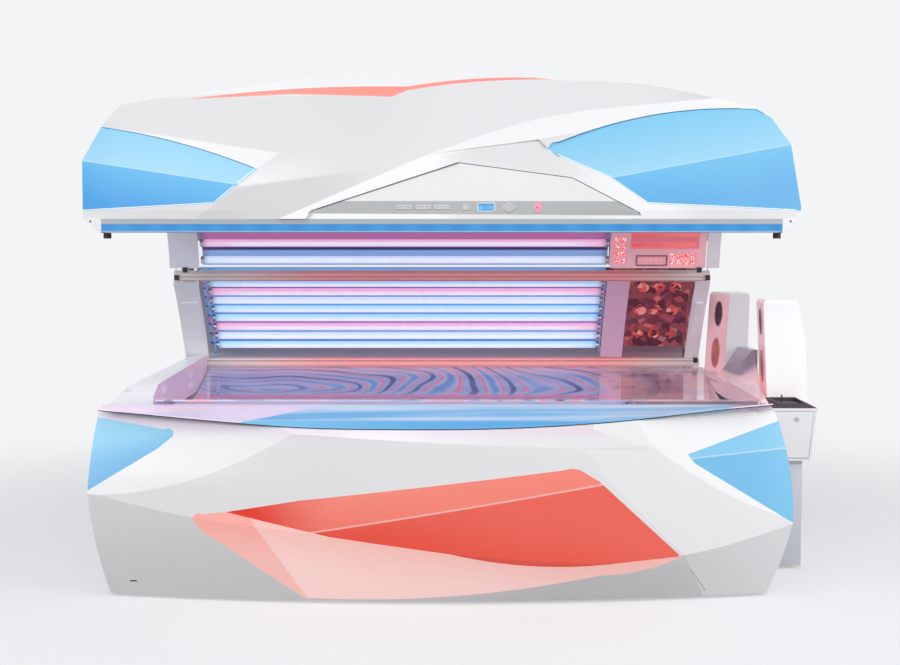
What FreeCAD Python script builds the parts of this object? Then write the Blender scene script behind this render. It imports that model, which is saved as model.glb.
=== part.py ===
"""Clamshell tanning bed: a lower bed, a leaning lamp wall and a lifting canopy.

Millimetres, +Z up, +X towards the head end, -Y towards the user.
The origin is on the floor, below the middle of the whole machine.
"""
import FreeCAD
import Part
import math
import os

Vector = FreeCAD.Vector
doc = FreeCAD.newDocument("tanning_bed")

# ---------------------------------------------------------------- driving sizes
SIZES = {
    # plan of the bed
    "bed_middle": -92,          # X of the bed's own middle, the head tower stands beyond it
    "half_width": 1162,         # middle to the ends of the front bow
    "front_edge": -625,         # Y of the bow's two ends
    "bow_depth": 130,           # how far the middle of the front stands forward
    "rear_edge": 755,
    # heights
    "floor_gap": 10,
    "rim_height": 655,
    "bench_height": 671,
    "bar_bottom": 1231,
    "bar_top": 1276,
    # skins
    "skin": 4,
    "sheet": 2,
    "acrylic": 6,
    # lying surface
    "bench_left": -1046,
    "bench_right": 988,
    "bench_front": -578,
    "bench_rear": 560,
    "bench_dip": 92,
    "lamp_radius": 14,
    "lamp_left": -1020,
    "lamp_right": 560,
    # lamp wall
    "wall_left": -1146,
    "wall_right": 972,
    "window_left": -1050,
    "window_right": 914,
    "wall_depth": 74,
    # hinge
    "hinge_y": 455,
    "hinge_height": 1103,
    "pin_radius": 12,
    "pin_play": 0.05,
    # frame
    "tube": 50,
    "tube_wall": 3,
    "rail_length": 2110,
    "cross_length": 1120,
    "post_height": 560,
    "wall_rail_length": 1986,
    "wall_leg_height": 534,
    # head tower
    "column_width": 150,
    "column_depth": 605,
    "column_height": 390,
    "column_head_depth": 220,
    "column_head_height": 198,
    "column_wall": 4,
    "lock_radius": 9,
    # keys
    "key_height": 17,
    "key_travel": 1.2,
    # gas springs
    "spring_radius": 11,
    "rod_radius": 5,
}

sheet = doc.addObject("Spreadsheet::Sheet", "Sizes")
for row, (alias, value) in enumerate(SIZES.items(), start=1):
    sheet.set("A%d" % row, alias)
    sheet.set("B%d" % row, str(value))
    sheet.setAlias("B%d" % row, alias)
doc.recompute()


def size(alias):
    """Value of a cell of the size sheet."""
    return float(sheet.get(alias))


# ---------------------------------------------------------------- shared helpers
kept = []


def keep(item, label):
    """Give a finished sub-part its own label and put it on the hand-over list."""
    item.Label = label
    kept.append(item)
    return item


def solid(label, shape):
    """A sub-part whose form needs Part's own functions."""
    item = doc.addObject("Part::Feature", label)
    item.Shape = shape
    item.Placement = FreeCAD.Placement()
    return keep(item, label)


def bind(item, **sizes):
    """Tie properties of a feature to expressions of the size sheet."""
    for field, text in sizes.items():
        item.setExpression(field, text)


def block(name, length, width, height, corner):
    """A Part::Box with bound sizes; corner is its lowest corner."""
    item = doc.addObject("Part::Box", name)
    bind(item, Length=length, Width=width, Height=height)
    item.Placement.Base = Vector(*corner)
    return item


def joined(name, items):
    """Fuse several primitives into one piece."""
    item = doc.addObject("Part::MultiFuse", name)
    item.Shapes = items
    return item


def cut(name, base, tool):
    """Take one primitive out of another."""
    item = doc.addObject("Part::Cut", name)
    item.Base = base
    item.Tool = tool
    return item


def tube(name, axis, length, corner):
    """Square steel tube along an axis, open at both ends; corner is its lowest corner."""
    wall = size("tube_wall")
    outer, inner, lift = [], [], []
    for direction in "xyz":
        along = direction == axis
        outer.append(length if along else "Sizes.tube")
        inner.append(length if along else "Sizes.tube - 2 * Sizes.tube_wall")
        lift.append(0 if along else wall)
    bore = [a + b for a, b in zip(corner, lift)]
    return cut(name, block(name + "_outside", *outer, corner), block(name + "_bore", *inner, bore))


def body_with_sketch(name, role):
    """A PartDesign body with an empty sketch on one of its origin planes."""
    body = doc.addObject("PartDesign::Body", name)
    sketch = body.newObject("Sketcher::SketchObject", name + "_profile")
    plane = [p for p in body.Origin.OriginFeatures if p.Role == role][0]
    sketch.AttachmentSupport = [(plane, "")]
    sketch.MapMode = "FlatFace"
    return body, sketch


def draw(sketch, points):
    """Closed outline of straight sides and, where a point has a middle, arcs."""
    sketch.addGeometry(outline_edges(points, lambda a, b: Vector(a, b, 0)), False)


def outline_edges(points, lift):
    """Edges through the points; (a, b) is a straight side, (ma, mb, a, b) an arc through a middle."""
    edges = []
    here = lift(*points[0])
    for p in list(points[1:]) + [points[0]]:
        there = lift(*p[-2:])
        if len(p) == 4:
            edges.append(Part.ArcOfCircle(here, lift(*p[:2]), there))
        else:
            edges.append(Part.LineSegment(here, there))
        here = there
    return edges


def yz_wire(x, points):
    """Closed outline in the plane across the bed at x; points are (y, z)."""
    edges = outline_edges(points, lambda a, b: Vector(x, a, b))
    return Part.Wire([e.toShape() for e in edges])


def xz_wire(y, points):
    """Closed outline in an upright plane along the bed; points are (x, z)."""
    edges = outline_edges(points, lambda a, b: Vector(a, y, b))
    return Part.Wire([e.toShape() for e in edges])


def xz_prism(points, near, far):
    """Block with an upright outline, from depth near to depth far."""
    return Part.Face(xz_wire(near, points)).extrude(Vector(0, far - near, 0))


def yz_prism(points, left, right):
    """Block with a cross-section outline, from left to right."""
    return Part.Face(yz_wire(left, points)).extrude(Vector(right - left, 0, 0))


def span(x, y, z):
    """Box from three (low, high) pairs."""
    return Part.makeBox(x[1] - x[0], y[1] - y[0], z[1] - z[0], Vector(x[0], y[0], z[0]))


def rod(radius, start, end):
    """Round bar between two points."""
    a, b = Vector(*start), Vector(*end)
    return Part.makeCylinder(radius, (b - a).Length, a, b - a)


def smooth(points):
    """Smooth function through (x, value) points, with chord slopes at the knots."""
    slopes = []
    for i in range(len(points)):
        low, high = points[max(i - 1, 0)], points[min(i + 1, len(points) - 1)]
        slopes.append((high[1] - low[1]) / (high[0] - low[0]))

    def value(x):
        i = 0
        while i < len(points) - 2 and x > points[i + 1][0]:
            i += 1
        (x0, v0), (x1, v1) = points[i], points[i + 1]
        step = x1 - x0
        u = min(max((x - x0) / step, 0.0), 1.0)
        blend = v0 * (1 + 2 * u) * (1 - u) ** 2 + v1 * u * u * (3 - 2 * u)
        blend += step * (slopes[i] * u * (1 - u) ** 2 + slopes[i + 1] * u * u * (u - 1))
        beyond = x - min(max(x, points[0][0]), points[-1][0])
        return blend + beyond * (slopes[0] if beyond < 0 else slopes[-1])

    return value


REACH = 4000


def beyond_plane(corners, inset, middle):
    """Large block on the side of a plane that faces away from the middle, moved inwards by inset."""
    a, b, c = [Vector(*p) for p in corners]
    along = (b - a).normalize()
    normal = along.cross(c - a).normalize()
    if normal.dot(middle - a) > 0:
        normal = normal * -1
    across = normal.cross(along)
    centre = a - normal * inset
    ring = [centre + along * (i * REACH) + across * (j * REACH) for i, j in
            ((-1, -1), (1, -1), (1, 1), (-1, 1), (-1, -1))]
    return Part.Face(Part.makePolygon(ring)).extrude(normal * REACH)


def trimmed(form, planes, inset, middle):
    """Cut a form back to its flat facets."""
    for corners in planes:
        form = form.cut(beyond_plane(corners, inset, middle))
    return form


def inset_ring(ring, amount):
    """Closed (y, z) outline, drawn clockwise from the front, moved inwards all round."""
    moved = []
    for i, here in enumerate(ring):
        before, after = ring[i - 1], ring[(i + 1) % len(ring)]
        a = (Vector(*here) - Vector(*before)).normalize()
        b = (Vector(*after) - Vector(*here)).normalize()
        mitre = (Vector(a.y, -a.x) + Vector(b.y, -b.x)) / (1 + a.dot(b))
        moved.append((here[0] + mitre.x * amount, here[1] + mitre.y * amount))
    return moved


def circle_through(a, b, c):
    """Centre and radius of the circle through three (y, z) points."""
    arc = Part.ArcOfCircle(Vector(*a, 0), Vector(*b, 0), Vector(*c, 0))
    return arc.Center, arc.Radius


def band(arc, near, far):
    """Closed outline of a strip that follows an arc, from near to far behind it."""
    centre, radius = circle_through(*arc)

    def behind(point, offset):
        out = (Vector(*point, 0) - centre) * ((radius + offset) / radius)
        return (centre.x + out.x, centre.y + out.y)

    a, m, b = arc
    return [behind(a, near), behind(m, near) + behind(b, near), behind(b, far),
            behind(m, far) + behind(a, far)]


def along_arc(arc, count, offset, margin):
    """Evenly spaced points behind an arc, leaving an angle of margin at both ends."""
    centre, radius = circle_through(*arc)
    start, middle, end = [math.atan2(p[1] - centre.y, p[0] - centre.x) for p in arc]
    if abs(end - start) > math.pi:
        end += math.copysign(2 * math.pi, start - end)
    gap = math.copysign(margin, end - start)
    points = []
    for i in range(count):
        angle = start + gap + (end - start - 2 * gap) * i / (count - 1)
        points.append((centre.x + (radius + offset) * math.cos(angle),
                       centre.y + (radius + offset) * math.sin(angle)))
    return points


def lofted(stations, section):
    """Solid through closed cross-sections, smooth from one end of the bed to the other."""
    wires = []
    for x in stations:
        ring = [Vector(x, y, z) for y, z in section(x)]
        wires.append(Part.makePolygon(ring + ring[:1]))
    return Part.makeLoft(wires, True, False)


bed_middle, half_width = size("bed_middle"), size("half_width")
front_edge, bow_depth, rear_edge = size("front_edge"), size("bow_depth"), size("rear_edge")
skin, thin = size("skin"), size("sheet")


def front(x):
    """Y of the bowed front edge."""
    return front_edge - bow_depth * (1 - ((x - bed_middle) / half_width) ** 2)


STATIONS = [-1420, -1180, -940, -700, -460, -220, 20, 260, 500, 740, 980, 1220]

# ---------------------------------------------------------------- base shell
# One bowed, faceted form. It is split into the front panel, the corner panel,
# the shell round the ends and back, and the lit windows set into them.
floor_gap = size("floor_gap")
toe_setback, lip_setback, seam_setback = 66, 5, 14
back_height = 643
corner_proud = 3
crease_height = smooth([(-1270, 362), (-905, 292), (-450, 238), (-90, 190), (303, 150), (500, 148),
                        (719, 166), (1089, 251)])
lip_height = smooth([(-1270, 604), (-911, 590), (-545, 574), (-170, 552), (309, 531), (621, 538),
                     (900, 590), (1089, 630)])
seam_height = smooth([(-1270, 640), (-911, 616), (-652, 599), (-447, 591), (-171, 590), (77, 592),
                      (303, 600), (435, 607), (732, 634), (1019, 656)])


def base_front_line(x, inset=0.0):
    """Front of the base in cross-section: toe, crease, lip and seam."""
    y = front(x) + inset
    return [(y + toe_setback, floor_gap), (y, crease_height(x)), (y + lip_setback, lip_height(x)),
            (y + seam_setback, seam_height(x))]


def base_section(x):
    return base_front_line(x) + [(rear_edge, back_height), (rear_edge, floor_gap)]


def base_hollow_section(x):
    """The space inside the skin, open below and above."""
    line = base_front_line(x, skin)
    below, above = floor_gap - 60, seam_height(x) + 60
    return ([(line[0][0], below)] + line +
            [(line[-1][0], above), (rear_edge - skin, above), (rear_edge - skin, below)])


end_taper = 40
tip_y = -620
base_middle = Vector(bed_middle, 0, 330)
left_tip, right_tip = (-1270, 362), (1094, 262)
deck_top = 800


def end_plane(low, high, taper):
    """Plane of an end face through two (x, z) corners; it draws in towards the back."""
    return [(low[0], tip_y, low[1]), (high[0], tip_y, high[1]), (low[0] + taper, tip_y + 1000, low[1])]


def end_form(inset=0.0):
    """Block between the bulging ends of the base, which draw in towards the back."""
    wires = []
    for y in (-900, 800):
        pull = inset + (y - tip_y) * end_taper / 1000
        left = [(-1210, -100), (-1210, 8), (-1249, 170, *left_tip), (-1261, 503, -1243, 626), (-1224, 648),
                (-1224, deck_top)]
        right = [(1020, deck_top), (1020, 652), (1041, 630), (1083, 480, *right_tip), (1062, 125, 1020, 8),
                 (1020, -100)]
        ring = [tuple(v + pull * (i % 2 == 0) for i, v in enumerate(point)) for point in left]
        ring += [tuple(v - pull * (i % 2 == 0) for i, v in enumerate(point)) for point in right]
        wires.append(xz_wire(y, ring))
    return Part.makeLoft(wires, True, True)


facet_planes = [
    [(-1270, -620, 362), (-797, -687, 533), (-1226, -566, 636)],
    [(1094, -621, 262), (1022, -560, 656), (622, -703, 514)],
]
base_outer = trimmed(lofted(STATIONS, base_section), facet_planes, 0, base_middle).common(end_form())
base_inner = trimmed(lofted(STATIONS, base_hollow_section), facet_planes, skin, base_middle)
base_inner = base_inner.common(end_form(skin))
base_skin = base_outer.cut(base_inner)

corner_line = [(415, 700), (415, 588), (622, 514), (345, 528), (405, 500, 446, 432), (719, 167),
               (812, -20), (1400, -20), (1400, 700)]
red_outline = [(-794, 314), (-547, 357), (316, 457), (352, 461, 388, 446), (435, 417), (698, 172),
               (700, 163, 690, 162), (500, 146), (250, 138, -60, 184), (-450, 238)]
blush_outline = [(-905, 282), (-898, 303, -875, 304), (-794, 314), (-450, 238), (-60, 184),
                 (250, 138, 500, 146), (690, 162), (719, 163), (560, 112, 439, 101),
                 (60, 40, -398, 16), (-538, 18), (-882, 251)]
blue_left_outline = [(-1500, 640), (-1238, 610), (-1003, 577), (-976, 566, -985, 550), (-1028, 515),
                     (-1257, 377), (-1500, 230)]
blue_right_outline = [(729, 500), (1047, 596), (1400, 700), (1400, 175), (1086, 265), (755, 469)]

front_limit, wrap_limit, panel_limit = -900, -480, -380
red_block = xz_prism(red_outline, front_limit, panel_limit)
blush_block = xz_prism(blush_outline, front_limit, panel_limit)
blue_left_block = xz_prism(blue_left_outline, front_limit, wrap_limit)
blue_right_block = xz_prism(blue_right_outline, front_limit, wrap_limit)
corner_block = xz_prism(corner_line, front_limit, panel_limit)
front_block = span((-1500, 1400), (front_limit, panel_limit), (-50, 800))

solid("red_window", base_skin.common(red_block))
solid("blush_window", base_skin.common(blush_block).cut(red_block))
front_skin = base_skin.common(front_block)
for window in (red_block, blush_block, blue_left_block, blue_right_block):
    front_skin = front_skin.cut(window)
solid("base_front_panel", front_skin.cut(corner_block))
corner_skin = front_skin.common(corner_block)
corner_skin.translate(Vector(0, -corner_proud, 0))
solid("base_corner_panel", corner_skin)

# ---------------------------------------------------------------- armrest ledge and seam
# A clear cover slopes from the black closing seam up to the rim of the bench.
rim_height, bench_front = size("rim_height"), size("bench_front")
gasket_height, gasket_depth = 3, 11
ledge_thickness = 4
ledge_rear = bench_front - 4


def gasket_section(x):
    y, z = front(x) + seam_setback - 1, seam_height(x)
    return [(y, z), (y, z + gasket_height), (y + gasket_depth, z + gasket_height), (y + gasket_depth, z)]


def ledge_section(x):
    y, z = front(x) + seam_setback, seam_height(x) + gasket_height
    return [(y, z), (y + 2, z + ledge_thickness), (ledge_rear, rim_height),
            (ledge_rear, rim_height - 20), (ledge_rear - ledge_thickness, rim_height - 20),
            (ledge_rear - ledge_thickness, rim_height - ledge_thickness - 1), (y + 9, z)]


gasket = lofted(STATIONS, gasket_section).common(end_form(2)).cut(base_skin)
solid("seam_gasket", gasket)
ledge = lofted(STATIONS, ledge_section).common(end_form()).cut(base_skin).cut(gasket)
window_plan = [(-790, -720), (-467, ledge_rear - 2), (925, ledge_rear - 2), (880, -612), (880, -900),
               (-790, -900)]
window_edge = [Vector(x, y, 500) for x, y in window_plan]
ledge_window_block = Part.Face(Part.makePolygon(window_edge + window_edge[:1])).extrude(Vector(0, 0, 300))
solid("armrest_ledge", ledge.cut(ledge_window_block))
solid("base_blue_windows", Part.makeCompound([base_skin.common(blue_left_block),
                                              base_skin.common(blue_right_block),
                                              ledge.common(ledge_window_block)]))

# ---------------------------------------------------------------- frame, feet and tray
# Welded square tube under a sheet tray, on six screw-in feet.
frame_bottom = 40
tray_height = 92
rail_front, rail_rear = -470, 600
frame_left, frame_right = -1150, 960
post_x = (-1108, 934)
tubes = []
for i, y in enumerate((rail_front, rail_rear)):
    tubes.append(tube("rail_%d" % i, "x", "Sizes.rail_length", (frame_left, y, frame_bottom)))
for i, x in enumerate((frame_left, bed_middle - size("tube") / 2, frame_right - size("tube"))):
    tubes.append(tube("cross_%d" % i, "y", "Sizes.cross_length", (x, rail_front, frame_bottom)))
for i, x in enumerate(post_x):
    corner = (x - size("tube") / 2, rail_rear, frame_bottom)
    tubes.append(tube("post_%d" % i, "z", "Sizes.post_height", corner))
wall_rail_left, wall_rail_right, wall_rail_bottom = -1080, 906, 622
leg_bottom = frame_bottom + size("tube") - 1
wall_rail_corner = (wall_rail_left, rail_rear, wall_rail_bottom)
tubes.append(tube("wall_rail", "x", "Sizes.wall_rail_length", wall_rail_corner))
for i, x in enumerate((wall_rail_left, wall_rail_right - size("tube"))):
    tubes.append(tube("wall_leg_%d" % i, "z", "Sizes.wall_leg_height", (x, rail_rear, leg_bottom)))
frame_item = joined("frame_tubes", tubes)
doc.recompute()
tray_plate = span((-1400, 1300), (-800, 800), (tray_height - thin, tray_height))
solid("base_frame", frame_item.Shape.fuse(base_inner.common(tray_plate)))

foot, foot_sketch = body_with_sketch("levelling_foot", "XZ_Plane")
draw(foot_sketch, [(0, 0), (28, 0), (28, 8), (7, 13), (7, 40), (0, 40)])
turn = foot.newObject("PartDesign::Revolution", "foot_turned")
turn.Profile = foot_sketch
turn.ReferenceAxis = (foot_sketch, ["V_Axis"])
turn.Angle = 360
doc.recompute()
feet = []
foot_inset = size("tube") / 2
for x in (-1100, bed_middle, 910):
    for y in (rail_front + foot_inset, rail_rear + foot_inset):
        stand = foot.Shape.copy()
        stand.translate(Vector(x, y, 0))
        feet.append(stand)
solid("levelling_feet", Part.makeCompound(feet))


# ---------------------------------------------------------------- bench
# The lying surface is one dished acrylic sheet over a bank of lamps in a bright tray.
bench_left, bench_right = size("bench_left"), size("bench_right")
bench_rear, bench_height = size("bench_rear"), size("bench_height")
acrylic = size("acrylic")
lamp_radius = size("lamp_radius")
lamp_left, lamp_right = size("lamp_left"), size("lamp_right")
bench_middle = (bench_front + bench_rear) / 2
bench_arc = [(bench_front, bench_height), (bench_middle, bench_height - size("bench_dip")),
             (bench_rear, bench_height)]

bench, bench_sketch = body_with_sketch("bench_acrylic", "YZ_Plane")
draw(bench_sketch, band(bench_arc, 0, acrylic))
pad = bench.newObject("PartDesign::Pad", "bench_sheet")
pad.Profile = bench_sketch
bind(pad, Length="Sizes.bench_right - Sizes.bench_left")
bench.Placement.Base = Vector(bench_left, 0, 0)
keep(bench, "bench_acrylic")
doc.recompute()
solid("base_rear_shell", base_skin.cut(front_block).cut(bench.Shape))

lamp_gap = 10
plate_width = 2 * thin
lamp_offset = acrylic + lamp_gap + lamp_radius
tray_offset = lamp_offset + lamp_radius + 8


def lamp_bank(label, arc, count, margin, extra=()):
    """A row of tubes behind an arc, together with any lamps of another kind."""
    lamps = list(extra)
    for y, z in along_arc(arc, count, lamp_offset, margin):
        lamps.append(rod(lamp_radius, (lamp_left, y, z), (lamp_right, y, z)))
    return solid(label, Part.makeCompound(lamps))


def bulkhead(arc, near, far, x, foot_line=()):
    """Plate across the bed that holds the ends of the lamps."""
    outline = band(arc, near, far)
    if foot_line:
        outline = outline[:2] + list(foot_line)
    return yz_prism(outline, x, x + plate_width)


lamp_bank("bench_lamps", bench_arc, 15, 0.035)
foot_line = [(bench_rear, tray_height), (bench_front, tray_height)]
bench_tray = yz_prism(band(bench_arc, tray_offset, tray_offset + thin), lamp_left, lamp_right)
plates = [bulkhead(bench_arc, acrylic, tray_offset, x, foot_line)
          for x in (lamp_left - plate_width, lamp_right, bench_right - 8)]
reflector_pieces = bench_tray.multiFuse(plates).cut(base_skin).Solids
reflector_pieces = [piece for piece in reflector_pieces if piece.Volume > 1e5]
solid("bench_reflector", Part.makeCompound(reflector_pieces))

# ---------------------------------------------------------------- leaning lamp wall
# A curved window of lamps behind the bench, with a square of reflector lamps for the shoulders.
wall_arc = [(578, 712), (457, 880), (318, 1034)]
wall_left, wall_right = size("wall_left"), size("wall_right")
window_left, window_right = size("window_left"), size("window_right")
wall_depth = size("wall_depth")
shoulder_left = 656
shoulder_strip = 566
wall_sheet = 5

wall_glass, wall_sketch = body_with_sketch("wall_acrylic", "YZ_Plane")
draw(wall_sketch, band(wall_arc, 0, wall_sheet))
pad = wall_glass.newObject("PartDesign::Pad", "wall_sheet")
pad.Profile = wall_sketch
pad.Length = shoulder_strip - window_left
wall_glass.Placement.Base = Vector(window_left, 0, 0)
keep(wall_glass, "wall_acrylic")

reflector_wide, reflector_narrow, reflector_depth = 24, 12, 24
reflector_behind = 46
wall_outward = Vector(0, 0.785, 0.62)
shoulder_lamps = []
for x in (720, 785, 850):
    for y, z in along_arc(wall_arc, 3, reflector_behind, 0.045):
        shoulder_lamps.append(Part.makeCone(reflector_wide, reflector_narrow, reflector_depth,
                                            Vector(x, y, z), wall_outward))
lamp_bank("wall_lamps", wall_arc, 8, 0.022, shoulder_lamps)

wall_plates = [bulkhead(wall_arc, wall_sheet, wall_depth, x)
               for x in (lamp_left - plate_width, lamp_right, shoulder_left, window_right - plate_width)]
wall_tray = yz_prism(band(wall_arc, wall_depth, wall_depth + thin), window_left, window_right)
cover = yz_prism(band(wall_arc, 0, wall_sheet), shoulder_strip + 0.5, shoulder_left)
cover_rib = yz_prism(band(wall_arc, wall_sheet, wall_sheet + 7), lamp_right + 8, shoulder_left)
solid("shoulder_housing", cover.fuse(cover_rib))
solid("shoulder_window", yz_prism(band(wall_arc, 1, wall_sheet), shoulder_left + 0.5, window_right))

cap_thickness, cap_margin = 6, 14
caps = []
for left, right, edge in ((wall_left, window_left, wall_left),
                          (window_right, wall_right, wall_right - plate_width)):
    face = yz_prism(band(wall_arc, -cap_thickness, 0), left, right)
    raised_arc = along_arc(wall_arc, 3, 0, 0.06)
    raised = yz_prism(band(raised_arc, -2 * cap_thickness, -cap_thickness),
                      left + cap_margin, right - cap_margin)
    side = yz_prism(band(wall_arc, 0, wall_depth), edge, edge + plate_width)
    caps.append(face.multiFuse([raised, side]))

top_profile = [(296, 1036), (296, 1058), (300, 1072, 312, 1077), (366, 1077), (318, 1036.5)]
bottom_profile = [(563, 672), (563, 700), (566, 707, 574, 709), (640, 709), (640, 672)]
lower_rail = yz_prism(bottom_profile, wall_left + 2, wall_right + 2)
for x in post_x:
    lower_rail = lower_rail.cut(span((x - 15, x + 15), (575, 650), (660, 720)))
profiles = Part.makeCompound([yz_prism(top_profile, wall_left + 6, wall_right - 5), lower_rail])
solid("wall_profiles", profiles)
solid("wall_end_caps", Part.makeCompound([cap.cut(profiles) for cap in caps]))
solid("wall_shell", wall_tray.multiFuse(wall_plates).cut(profiles))
rear_skin = [(382, 1086), (520, 1086), (rear_edge, 716), (rear_edge, back_height),
             (rear_edge - 3, back_height), (rear_edge - 3, 715), (518, 1083), (382, 1083)]
rear_cover = yz_prism(rear_skin, wall_left, wall_right)
for low, high in ((wall_left - 1, post_x[0] + 20), (post_x[1] - 20, wall_right + 1)):
    rear_cover = rear_cover.cut(span((low, high), (376, 600), (960, 1100)))
solid("wall_rear_cover", rear_cover)

# ---------------------------------------------------------------- foot console
# A wedge at the foot end rises towards the back; its inner face has two groups of air vents.
console_lift = [
    (-560, [(-1222, 642), (-1190, 668), (-1150, 680), (-1056, 680), (-1056, 600), (-1222, 600)]),
    (-470, [(-1219, 642), (-1190, 676), (-1160, 704), (-1056, 712), (-1056, 600), (-1219, 600)]),
    (556, [(-1180, 642), (-1172, 682), (-1130, 716), (-1056, 722), (-1056, 600), (-1180, 600)]),
]
console = Part.makeLoft([xz_wire(y, ring) for y, ring in console_lift], True, True)
console_face = -1056
vent_pitch, vent_width, vent_height, vent_depth = 34, 20, 26, 8
for y in (-420, 120):
    for z in (628, 668):
        for cell in range(3):
            start = y + cell * vent_pitch
            console = console.cut(span((console_face - vent_depth, console_face + 6),
                                       (start, start + vent_width), (z, z + vent_height)))
socket_x, socket_y, socket_radius = -1150, -500, 16
console = console.cut(rod(socket_radius, (socket_x, socket_y, 640), (socket_x, socket_y, 800)))
solid("foot_console", console.cut(base_skin))

# ---------------------------------------------------------------- head shelf and speakers
# A low deck beyond the bench carries two speaker towers with a slatted air outlet between them.
head_rear = 560
shelf = Part.makeLoft([xz_wire(y, ring) for y, ring in (
    (-556, [(992, 655), (992, 668), (1012, 668), (1020, 655)]),
    (60, [(992, 600), (992, 668), (1104, 668), (1104, 600)]),
)], True, True)
ramp = yz_prism([(60, 600), (60, 660), (400, 668), (head_rear, 668), (head_rear, 600)], 992, 1250)
rise = Part.makeLoft([xz_wire(y, ring) for y, ring in (
    (60, [(1030, 660), (1112, 668), (1128, 668), (1128, 640), (1030, 640)]),
    (200, [(1030, 660), (1118, 773), (1140, 773), (1140, 640), (1030, 640)]),
    (395, [(1030, 664), (1100, 770), (1140, 770), (1140, 640), (1030, 640)]),
)], True, True)
shelf = shelf.multiFuse([ramp, rise])
slat_pitch, slat_width = 36, 20
for i in range(6):
    y = 150 + i * slat_pitch
    slot = xz_prism([(1036, 684), (1092, 752), (1082, 760), (1026, 692)], y, y + slat_width)
    shelf = shelf.cut(slot)
for plan in (span((1038, 1160), (395, 600), (600, 800)), span((1120, 1300), (5, 205), (590, 800))):
    shelf = shelf.cut(plan)


def upright(levels):
    """Housing through plan outlines at several heights."""
    wires = []
    for z, plan in levels:
        ring = [Vector(x, y, z) for x, y in plan]
        wires.append(Part.makePolygon(ring + ring[:1]))
    return Part.makeLoft(wires, True, True)


rear_speaker = upright([
    (600, [(1042, 400), (1133, 400), (1140, 590), (992, 562)]),
    (800, [(1055, 400), (1142, 400), (1148, 590), (1004, 562)]),
    (975, [(1066, 402), (1146, 402), (1150, 590), (1015, 564)]),
    (983, [(1072, 410), (1140, 410), (1144, 582), (1026, 564)]),
])
front_speaker = upright([
    (594, [(1138, 15), (1291, 15), (1288, 195), (1149, 195)]),
    (819, [(1126, 15), (1279, 15), (1277, 195), (1138, 195)]),
    (962, [(1120, 17), (1251, 17), (1252, 195), (1130, 195)]),
    (974, [(1128, 26), (1240, 26), (1242, 186), (1138, 186)]),
])
speaker_lean = {"rear": ((1041, 480, 897), (1028, 480, 738)), "front": ((1130, 105, 890), (1140, 105, 720))}
speaker_normal = {"rear": Vector(-0.952, -0.305, 0), "front": Vector(-0.998, -0.06, 0)}


def oval(centre, normal, width, height, depth):
    """Upright oval plug through a housing's side, centred on it."""
    disc = Part.makeCylinder(1, depth, Vector(0, 0, -depth / 2))
    stretch = FreeCAD.Matrix()
    stretch.scale(width / 2, height / 2, 1)
    disc = disc.transformGeometry(stretch)
    turn = FreeCAD.Rotation(Vector(0, 0, 1).cross(normal), Vector(0, 0, 1), normal, "ZYX")
    disc.Placement = FreeCAD.Placement(Vector(*centre), turn)
    return disc


solid("head_shelf", shelf.cut(base_skin).cut(rear_speaker).cut(front_speaker))

grilles, housings = [], []
for name, housing in (("rear", rear_speaker), ("front", front_speaker)):
    for centre, width, height in zip(speaker_lean[name], (62, 64), (100, 118)):
        plug = oval(centre, speaker_normal[name], width, height, 40)
        grilles.append(housing.common(plug))
        housing = housing.cut(plug)
    housings.append(max(housing.cut(base_skin).Solids, key=lambda piece: piece.Volume))
solid("speaker_housings", Part.makeCompound(housings))
solid("speaker_grilles", Part.makeCompound(grilles))

# ---------------------------------------------------------------- service tower
# A sheet column at the head end, with a box on its front that has a drop-down, lockable door.
column_left, column_front, column_bottom = 1079, -175, 12
head_front = 210
wall = size("column_wall")
inner_width = "Sizes.column_width - 2 * Sizes.column_wall"
head_bottom = column_bottom + size("column_height")
lower = block("column_lower", "Sizes.column_width", "Sizes.column_depth", "Sizes.column_height",
              (column_left, column_front, column_bottom))
upper = block("column_upper", "Sizes.column_width", "Sizes.column_head_depth", "Sizes.column_head_height",
              (column_left, head_front, head_bottom))
lower_hollow = block("column_lower_hollow", inner_width, "Sizes.column_depth - 2 * Sizes.column_wall",
                     "Sizes.column_height - Sizes.column_wall",
                     (column_left + wall, column_front + wall, column_bottom))
upper_hollow = block("column_upper_hollow", inner_width, "Sizes.column_head_depth - 2 * Sizes.column_wall",
                     "Sizes.column_head_height", (column_left + wall, head_front + wall, head_bottom - wall))
column = cut("service_column", joined("column_shell", [lower, upper]),
             joined("column_hollow", [lower_hollow, upper_hollow]))
keep(column, "service_column")

box_front, box_rear, box_bottom, box_top = -195, 205, 402, 594
box_wall, door_gap, door_depth = 6, 1.5, 12


def box_face(left, right, top_left, top_right, low, high):
    """Outline of the box seen from the front: its sides lean out towards the top."""
    return [(left, box_bottom + low), (right, box_bottom + low), (top_right, box_top - high),
            (top_left, box_top - high)]


def grown(outline, gap):
    """Four-sided outline made larger all round."""
    signs = ((-1, -1), (1, -1), (1, 1), (-1, 1))
    return [(x + i * gap, z + j * gap) for (x, z), (i, j) in zip(outline, signs)]


door_outline = box_face(1106, 1246, 1119, 1263, 10, 12)
case = xz_prism(box_face(1098, 1254, 1112, 1276, 0, 0), box_front, box_rear)
case = case.cut(xz_prism(box_face(1104, 1248, 1116, 1267, box_wall, box_wall),
                         box_front + door_depth + box_wall, box_rear - size("column_wall")))
doorway = grown(door_outline, door_gap)
case = case.cut(xz_prism(doorway, box_front - 1, box_front + door_depth + box_wall + 1))
hinge_line = (box_front + 6, box_bottom + 16)
wire_radius, wire_play = 2.5, 0.05
case = case.fuse(rod(wire_radius, (1100.5, *hinge_line), (1252, *hinge_line)))
solid("service_box", case)

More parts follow.
